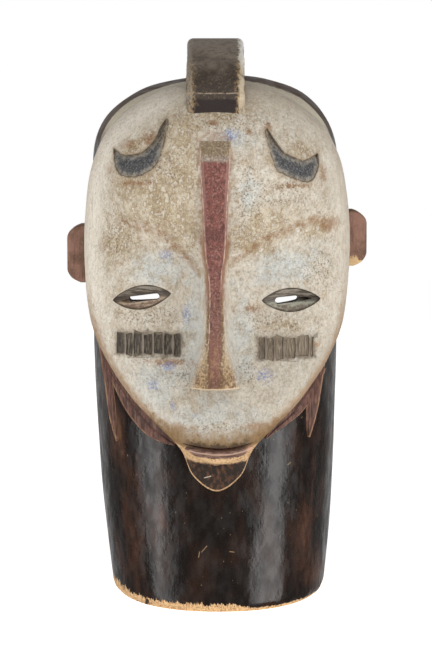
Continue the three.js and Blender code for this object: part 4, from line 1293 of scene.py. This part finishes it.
# A tab's section, by share across and share of relief.
TAB_CROWN = [(-1, 0.1), (-0.75, 1), (-0.2, 1), (0, 0.45), (0.2, 1), (0.75, 1), (1, 0.1)]
TAB_RED = (108, 70, 58)
TAB_DARK = (68, 43, 36)
TAB_GRAIN = (150, 116, 96)
TAB_EDGE = (176, 138, 104)
TAB_GROOVE = (62, 38, 32)


def tab_finish():
    red = Finish("red_brown_tabs")
    mottle = red.noise((4, 4, 14), 4, 0.65, seed=81)
    across = red.field("across_tab")
    colour = red.painted(
        red.mix(mottle.rise(0.38, 0.62), TAB_RED, TAB_DARK),
        (red.noise((1.6, 1.6, 20), 3, seed=82).rise(0.5, 0.64) * 0.4, TAB_GRAIN),
        (across.rise(0.75, 0.95) * mottle.rise(0.4, 0.55) * 0.6, TAB_EDGE),
        (across.rise(0.18, 0.04) * 0.5, TAB_GROOVE),
    )
    return red.done(colour, 0.45 + 0.25 * mottle, mottle, depth=0.6, specular=0.4)


fields["across_tab"] = lambda across, depth, height: off_lines(TABS, across, height)
tab_crown = [(share, TAB_RELIEF * rise) for share, rise in TAB_CROWN]
tab_section = [(-1, RAISED_ROOT), *tab_crown, (1, RAISED_ROOT)]
tab_paint = tab_finish()
standing += [band("neck_tab", shell_depth, line, tab_section, 10, tab_paint) for line in TABS]

# The crest and the ears.
# Plain blocks with softened edges, cut from the same log: a thick rib that runs back over the crown, and an
# ear on each side of the head. Knocks and rubbing have bared the wood at their edges. The crest has painted
# light on its top and its bare right edge, and black paint with painted shade on its upright front.
CREST_HALF_WIDTH = 26
CREST_WORN_SIDE = 2.4  # what the right side has lost
CREST_EDGE = 5  # the rounding of its edges
CREST_FRONT = -123.8
CREST_FOOT = 430
CREST_BREAK = 449  # where its upright front turns back
CREST_TOP = MASK_HEIGHT
CREST_TOP_AT = -15
CREST_BACK_TOP = 482
EAR_REACH = 134.5
EAR_ROOT = 98  # inside the wall of the shell
EAR_ROOT_RUN = 12
EAR_CORNER = 12
EARS = [dict(side=-1, low=280, high=332), dict(side=1, low=295, high=345)]
EAR_FRONT = -24
EAR_BACK = 4
EAR_EDGE = 3
CREST_BROWN = (66, 54, 44)
CREST_GREY_AND_TOP_LIGHT = (142, 130, 116)
CREST_STAIN = (52, 43, 37)
CREST_CRUMB = (150, 134, 112)
CREST_UPRIGHT_BLACK_AND_SHADE = (38, 26, 23)
CREST_OCHRE = (190, 158, 112)
CREST_BARE = (204, 188, 162)
CREST_BARE_AND_HIGHLIGHT = (246, 242, 232)
CREST_RUBBED = (158, 150, 138)
CREST_CRACK = (178, 160, 134)
EAR_RED = (142, 104, 88)
EAR_BROWN = (112, 82, 64)
EAR_GRAIN = (84, 58, 48)
EAR_FLECK = (180, 148, 128)
EAR_BARE = (208, 174, 126)
EAR_BARE_SPOTS = [(128, 297, 9, 5), (118, 296, 9, 3)]  # at the lower corner of the right ear


def bezier(*controls, steps=16):
    """Points along a curve from the first control point to the last, leaving out the first."""
    points = np.tile(np.array(controls, float)[:, None], (1, steps, 1))
    t = np.linspace(0, 1, steps + 1)[1:, None]
    while len(points) > 1:
        points = points[:-1] + (points[1:] - points[:-1]) * t
    return points[0].tolist()


crest_summit = (CREST_TOP_AT, CREST_TOP)
crest_break = (CREST_FRONT, CREST_BREAK)
CREST_ARCH = bezier((BACK_PLANE, CREST_BACK_TOP), (25, CREST_TOP), crest_summit, steps=24)
CREST_ARCH += bezier(crest_summit, (-55, CREST_TOP), (-108, 484), crest_break, steps=44)


def slab(outline, start, end, edge):
    """Rings of a flat block between two planes, with rounded edges: two places in the plane, one across."""
    outline = np.array(outline, float)
    ahead = np.roll(outline, -1, 0) - outline
    ahead /= np.linalg.norm(ahead, axis=1, keepdims=True)
    both = ahead + np.roll(ahead, 1, 0)
    following = np.roll(outline, -1, 0)
    area = (outline[:, 0] * following[:, 1] - outline[:, 1] * following[:, 0]).sum()
    inward = np.stack([-both[:, 1], both[:, 0]], -1) * np.sign(area)
    inward /= (inward * inward).sum(1, keepdims=True) / 2
    turns = np.linspace(0, np.pi / 2, 6)
    stations = [(start + edge * (1 - np.sin(t)), edge * (1 - np.cos(t))) for t in turns[::-1]]
    stations += [(place, 0) for place in np.linspace(start + edge, end - edge, 10)[1:-1]]
    stations += [(end - edge * (1 - np.sin(t)), edge * (1 - np.cos(t))) for t in turns]
    rings = []
    for place, inset in stations:
        rings.append(np.column_stack([outline + inward * inset, np.full(len(outline), place)]))
    return np.array(rings)


def crest_worn(points):
    free = (points[:, 1] < BACK_PLANE - 1) & (points[:, 2] < CREST_TOP - 1)
    chipped = 0.8 * np.maximum(0, lumps(points, 7, 12))
    return np.where(free, 0.7 * lumps(points, (14, 30, 20), 11) - chipped, 0)


def crest_body(finish):
    inside = DOME_START + DOME_RISE - DOME_WALL
    front = [(CREST_FRONT, height) for height in np.linspace(CREST_BREAK, CREST_FOOT, 8)]
    outline = front + [(BACK_PLANE, inside), (BACK_PLANE, CREST_BACK_TOP)] + CREST_ARCH[:-1]
    rings = slab(outline, -CREST_HALF_WIDTH, CREST_HALF_WIDTH - CREST_WORN_SIDE, CREST_EDGE)
    return loft("crest", rings[..., [2, 0, 1]], finish, crest_worn)


def ear_body(side, low, high, finish):
    bend, inner = EAR_CORNER / 3, EAR_REACH - EAR_CORNER
    outline = [(EAR_ROOT, low), (EAR_ROOT + EAR_ROOT_RUN, low), (inner, low)]
    outline += bezier(outline[-1], (EAR_REACH, low + bend), (EAR_REACH, low + EAR_CORNER), steps=8)
    outline += [(EAR_REACH, (low + high) / 2), (EAR_REACH, high - EAR_CORNER)]
    outline += bezier(outline[-1], (EAR_REACH, high - bend), (inner, high), steps=8)
    outline += [(EAR_ROOT + EAR_ROOT_RUN, high), (EAR_ROOT, high)]
    rings = slab(outline, EAR_FRONT, EAR_BACK, EAR_EDGE)[..., [0, 2, 1]] * (side, 1, 1)
    return loft("ear", rings, finish, lambda points: -0.8 * np.maximum(0, lumps(points, 8, 13 + side)))


def crest_finish():
    grey = Finish("dark_crest_wood")
    height = grey.height
    cloudy = grey.noise((16, 16, 12), 4, seed=91)
    mottle = grey.noise((5, 5, 6), 5, 0.65, seed=92)
    crumbly = grey.noise((1.6, 1.6, 2.4), 4, 0.65, seed=93)
    upright = height.ragged(mottle, 4).rise(447, 444.5)
    inward = grey.field("crest_in").ragged(crumbly, 2.4)
    right = grey.across.rise(-2, 2)
    flecked = inward.ragged(mottle, 16).rise(9.5, 4) * crumbly.rise(0.43, 0.53) * height.rise(486, 470)
    bared = inward.ragged(mottle, 9).rise(6, 3.6) * (0.45 + 0.55 * height.rise(436, 450))
    # bare wood, near white towards the top: a painted highlight on the bare right edge
    light = grey.mix(height.ragged(mottle, 30).rise(466, 486), CREST_BARE, CREST_BARE_AND_HIGHLIGHT)
    crack = (height - 450.6).ragged(grey.noise((14, 14, 14), 3, seed=94), 3).size().rise(0.8, 0.3)
    colour = grey.painted(
        # the wood's grey, with painted light: lighter towards the top, which faces up
        grey.mix(height.ragged(cloudy, 40).rise(458, 492), CREST_BROWN, CREST_GREY_AND_TOP_LIGHT),
        (mottle.rise(0.48, 0.62) * 0.45, CREST_STAIN),
        (crumbly.rise(0.54, 0.64) * 0.3, CREST_CRUMB),
        # black paint and painted shade: the upright front is near black
        (upright * 0.9, CREST_UPRIGHT_BLACK_AND_SHADE),
        (flecked * (0.6 + 0.2 * right), CREST_OCHRE),
        (bared * (0.5 + 0.45 * right), grey.mix(right, CREST_RUBBED, light)),
        (crack * mottle.rise(0.38, 0.5) * 0.7, CREST_CRACK),
    )
    return grey.done(colour, 0.42 + 0.3 * cloudy, 0.5 * crumbly + 0.5 * mottle, depth=0.9, specular=0.4)


def ear_finish():
    brown = Finish("reddish_ear_wood")
    cloudy = brown.noise((12, 12, 14), 4, seed=95)
    grain = brown.noise((2.4, 2.4, 26), 5, 0.65, seed=96)
    fleck = brown.noise(1.8, 3, 0.7, seed=97)
    bare = brown.field("ear_corner").ragged(grain, 0.5).ragged(fleck, 0.3).rise(0.5, 0.64)
    colour = brown.painted(
        brown.mix(cloudy.rise(0.4, 0.62), EAR_RED, EAR_BROWN),
        (grain.rise(0.5, 0.66) * 0.6, EAR_GRAIN),
        (fleck.rise(0.6, 0.68) * 0.4, EAR_FLECK),
        (bare * 0.9, EAR_BARE),
    )
    return brown.done(colour, 0.55 + 0.2 * cloudy, 0.6 * grain + 0.4 * fleck, depth=0.9, specular=0.38)


def crest_in(across, depth, height):
    """How far in each place of the crest is from its two long edges, over either face."""
    under = np.interp(-depth, *np.array(CREST_ARCH)[::-1].T) - height
    side = CREST_HALF_WIDTH - np.abs(across) - CREST_WORN_SIDE * (across > 0)
    return side + np.maximum(0, np.minimum(under, -depth - CREST_FRONT))


def ear_corner(across, depth, height):
    return spots(across, height, EAR_BARE_SPOTS) * (across > 0)


fields["crest_in"] = crest_in
fields["ear_corner"] = ear_corner
standing.append(crest_body(crest_finish()))
ear_wood = ear_finish()
standing += [ear_body(**ear, finish=ear_wood) for ear in EARS]

# The carving as one piece.
# Everything above is one log of wood, so the bodies that stand are joined, and what the tools took out is cut
# away. Each surface keeps the finish of the body that it was cut from or with.
SHARP_EDGE = np.radians(38)  # a sharper bend than this is shaded as an edge


def gathered(name, bodies):
    collection = bpy.data.collections.new(name)
    bpy.context.scene.collection.children.link(collection)
    for piece in bodies:
        collection.objects.link(piece)
    return collection


def carved(standing, cut_away):
    """One closed mesh of the bodies that stand, less those that are cut away, in two exact steps."""
    first = standing[0]
    bpy.context.scene.collection.objects.link(first)
    for operation, bodies in [("UNION", standing[1:]), ("DIFFERENCE", cut_away)]:
        step = first.modifiers.new(operation, "BOOLEAN")
        step.operation = operation
        step.operand_type = "COLLECTION"
        step.collection = gathered(operation.lower(), bodies)
        step.solver = "MANIFOLD"
        step.material_mode = "TRANSFER"
    mesh = bpy.data.meshes.new_from_object(first.evaluated_get(bpy.context.evaluated_depsgraph_get()))
    for collection in list(bpy.context.scene.collection.children):
        bpy.data.collections.remove(collection)
    for piece in standing + cut_away:
        bpy.data.objects.remove(piece)
    return mesh


def corners_of(mesh):
    corners = np.empty(len(mesh.vertices) * 3)
    mesh.vertices.foreach_get("co", corners)
    return corners.reshape(-1, 3)


mesh = carved(standing, cut_away)
placed = np.clip(corners_of(mesh), low, high)
mesh.vertices.foreach_set("co", placed.ravel())
place = (placed - (0, 0, low.z)) / MM - (0, WIDEST_PLANE, 0)
for name, field in fields.items():
    attribute = mesh.attributes.new(name, "FLOAT", "POINT")
    attribute.data.foreach_set("value", field(place[:, 0], -place[:, 1], place[:, 2]).astype(np.float32))
mesh.update()
mesh.shade_smooth()
mesh.set_sharp_from_angle(angle=SHARP_EDGE)
mask = bpy.data.objects.new("carved_mask", mesh)
bpy.context.scene.collection.objects.link(mask)
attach(mask, "root")
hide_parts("mask")

# The floor, the light and the camera.
# A plain pale floor in a white room, with a tall soft box on each side of the camera and soft light from
# above. These sizes are metres.
FLOOR_HALF = 2
FLOOR_GLOW = 0.8
WHITE = (255, 255, 255)
OFF_WHITE = (251, 251, 251)
SOFT_BOX_HEIGHT = 1.6
SOFT_BOX_FOOT = -0.65  # it reaches below the floor
SOFT_BOX_DISTANCE = 1
AIM = Vector((-0.0008, 0, 0.244))
CAMERA_RISE = np.radians(7)
CAMERA_DISTANCE = 1.9
PHOTO_HEIGHT = 652  # in the photo's pixels, as is the next
PHOTO_FOCAL_LENGTH = 2137
SENSOR = 36


def floor_body():
    """A white floor, which the polished neck doesn't mirror."""
    corners = [(-1, -1), (1, -1), (1, 1), (-1, 1)]
    mesh = bpy.data.meshes.new("floor")
    mesh.from_pydata([(x * FLOOR_HALF, y * FLOOR_HALF, low.z) for x, y in corners], [], [(0, 1, 2, 3)])
    plain = Finish("pale_floor")
    shade = plain.mix(plain.noise(180, 2, seed=99), WHITE, OFF_WHITE)
    plain.surface.inputs["Emission Color"].default_value = (1, 1, 1, 1)
    plain.surface.inputs["Emission Strength"].default_value = FLOOR_GLOW
    mesh.materials.append(plain.done(shade, 0.9, specular=0.1))
    floor = bpy.data.objects.new("floor", mesh)
    floor.visible_glossy = False
    floor.visible_shadow = False
    bpy.context.scene.collection.objects.link(floor)
    return floor


def towards(turned, target):
    """Turns a light or the camera to face a place."""
    turned.rotation_euler = (Vector(target) - turned.location).to_track_quat("-Z", "Y").to_euler()


def soft_box(name, azimuth, power, width):
    """A tall box of light that is square to the mask, so many degrees to the right of the camera's side."""
    data = bpy.data.lights.new(name, "AREA")
    data.shape = "RECTANGLE"
    data.size, data.size_y, data.energy = width, SOFT_BOX_HEIGHT, power
    light = bpy.data.objects.new(name, data)
    turn = np.radians(azimuth)
    middle = low.z + SOFT_BOX_HEIGHT / 2 + SOFT_BOX_FOOT
    light.location = SOFT_BOX_DISTANCE * np.sin(turn), -SOFT_BOX_DISTANCE * np.cos(turn), middle
    towards(light, (0, 0, light.location.z))
    bpy.context.scene.collection.objects.link(light)


def sky_light(name, strength, spread, source):
    """Soft light from the side where the source is, spread over that many degrees."""
    data = bpy.data.lights.new(name, "SUN")
    data.energy, data.angle = strength, np.radians(spread)
    light = bpy.data.objects.new(name, data)
    light.location = source
    towards(light, (0, 0, 0))
    bpy.context.scene.collection.objects.link(light)


def white_room(in_front, behind, white):
    """A room that is seen as plain white, and that lights the mask more from behind than from in front."""
    world = bpy.data.worlds.new("white_room")
    world.use_nodes = True
    nodes, links = world.node_tree.nodes, world.node_tree.links
    place = nodes.new("ShaderNodeTexCoord")
    axes = nodes.new("ShaderNodeSeparateXYZ")
    backward = nodes.new("ShaderNodeMapRange")
    level = nodes.new("ShaderNodeMix")
    seen = nodes.new("ShaderNodeLightPath")
    backward.interpolation_type = "SMOOTHSTEP"
    for key, value in {"From Min": 0.45, "From Max": 0.95, "To Min": in_front, "To Max": behind}.items():
        backward.inputs[key].default_value = value
    level.inputs["B"].default_value = white
    links.new(place.outputs["Generated"], axes.inputs[0])
    links.new(axes.outputs["Y"], backward.inputs["Value"])
    links.new(seen.outputs["Is Camera Ray"], level.inputs["Factor"])
    links.new(backward.outputs[0], level.inputs["A"])
    links.new(level.outputs[0], nodes["Background"].inputs["Strength"])
    nodes["Background"].inputs["Color"].default_value = (1, 1, 1, 1)
    bpy.context.scene.world = world


floor_body()
white_room(in_front=0.06, behind=0.5, white=1)
sky_light("light_from_above", strength=1.45, spread=60, source=(-0.1, -1.2, 1))
soft_box("left_soft_box", azimuth=-62, power=5.8, width=0.36)
soft_box("right_soft_box", azimuth=54, power=8.6, width=0.5)

camera_data = bpy.data.cameras.new("camera")
camera_data.sensor_fit = "VERTICAL"
camera_data.sensor_height = SENSOR
camera_data.lens = PHOTO_FOCAL_LENGTH / PHOTO_HEIGHT * SENSOR
camera = bpy.data.objects.new("camera", camera_data)
camera.location = AIM + CAMERA_DISTANCE * Vector((0, -np.cos(CAMERA_RISE), np.sin(CAMERA_RISE)))
towards(camera, AIM)
bpy.context.scene.collection.objects.link(camera)
bpy.context.scene.camera = camera
bpy.context.scene.view_settings.view_transform = "Standard"
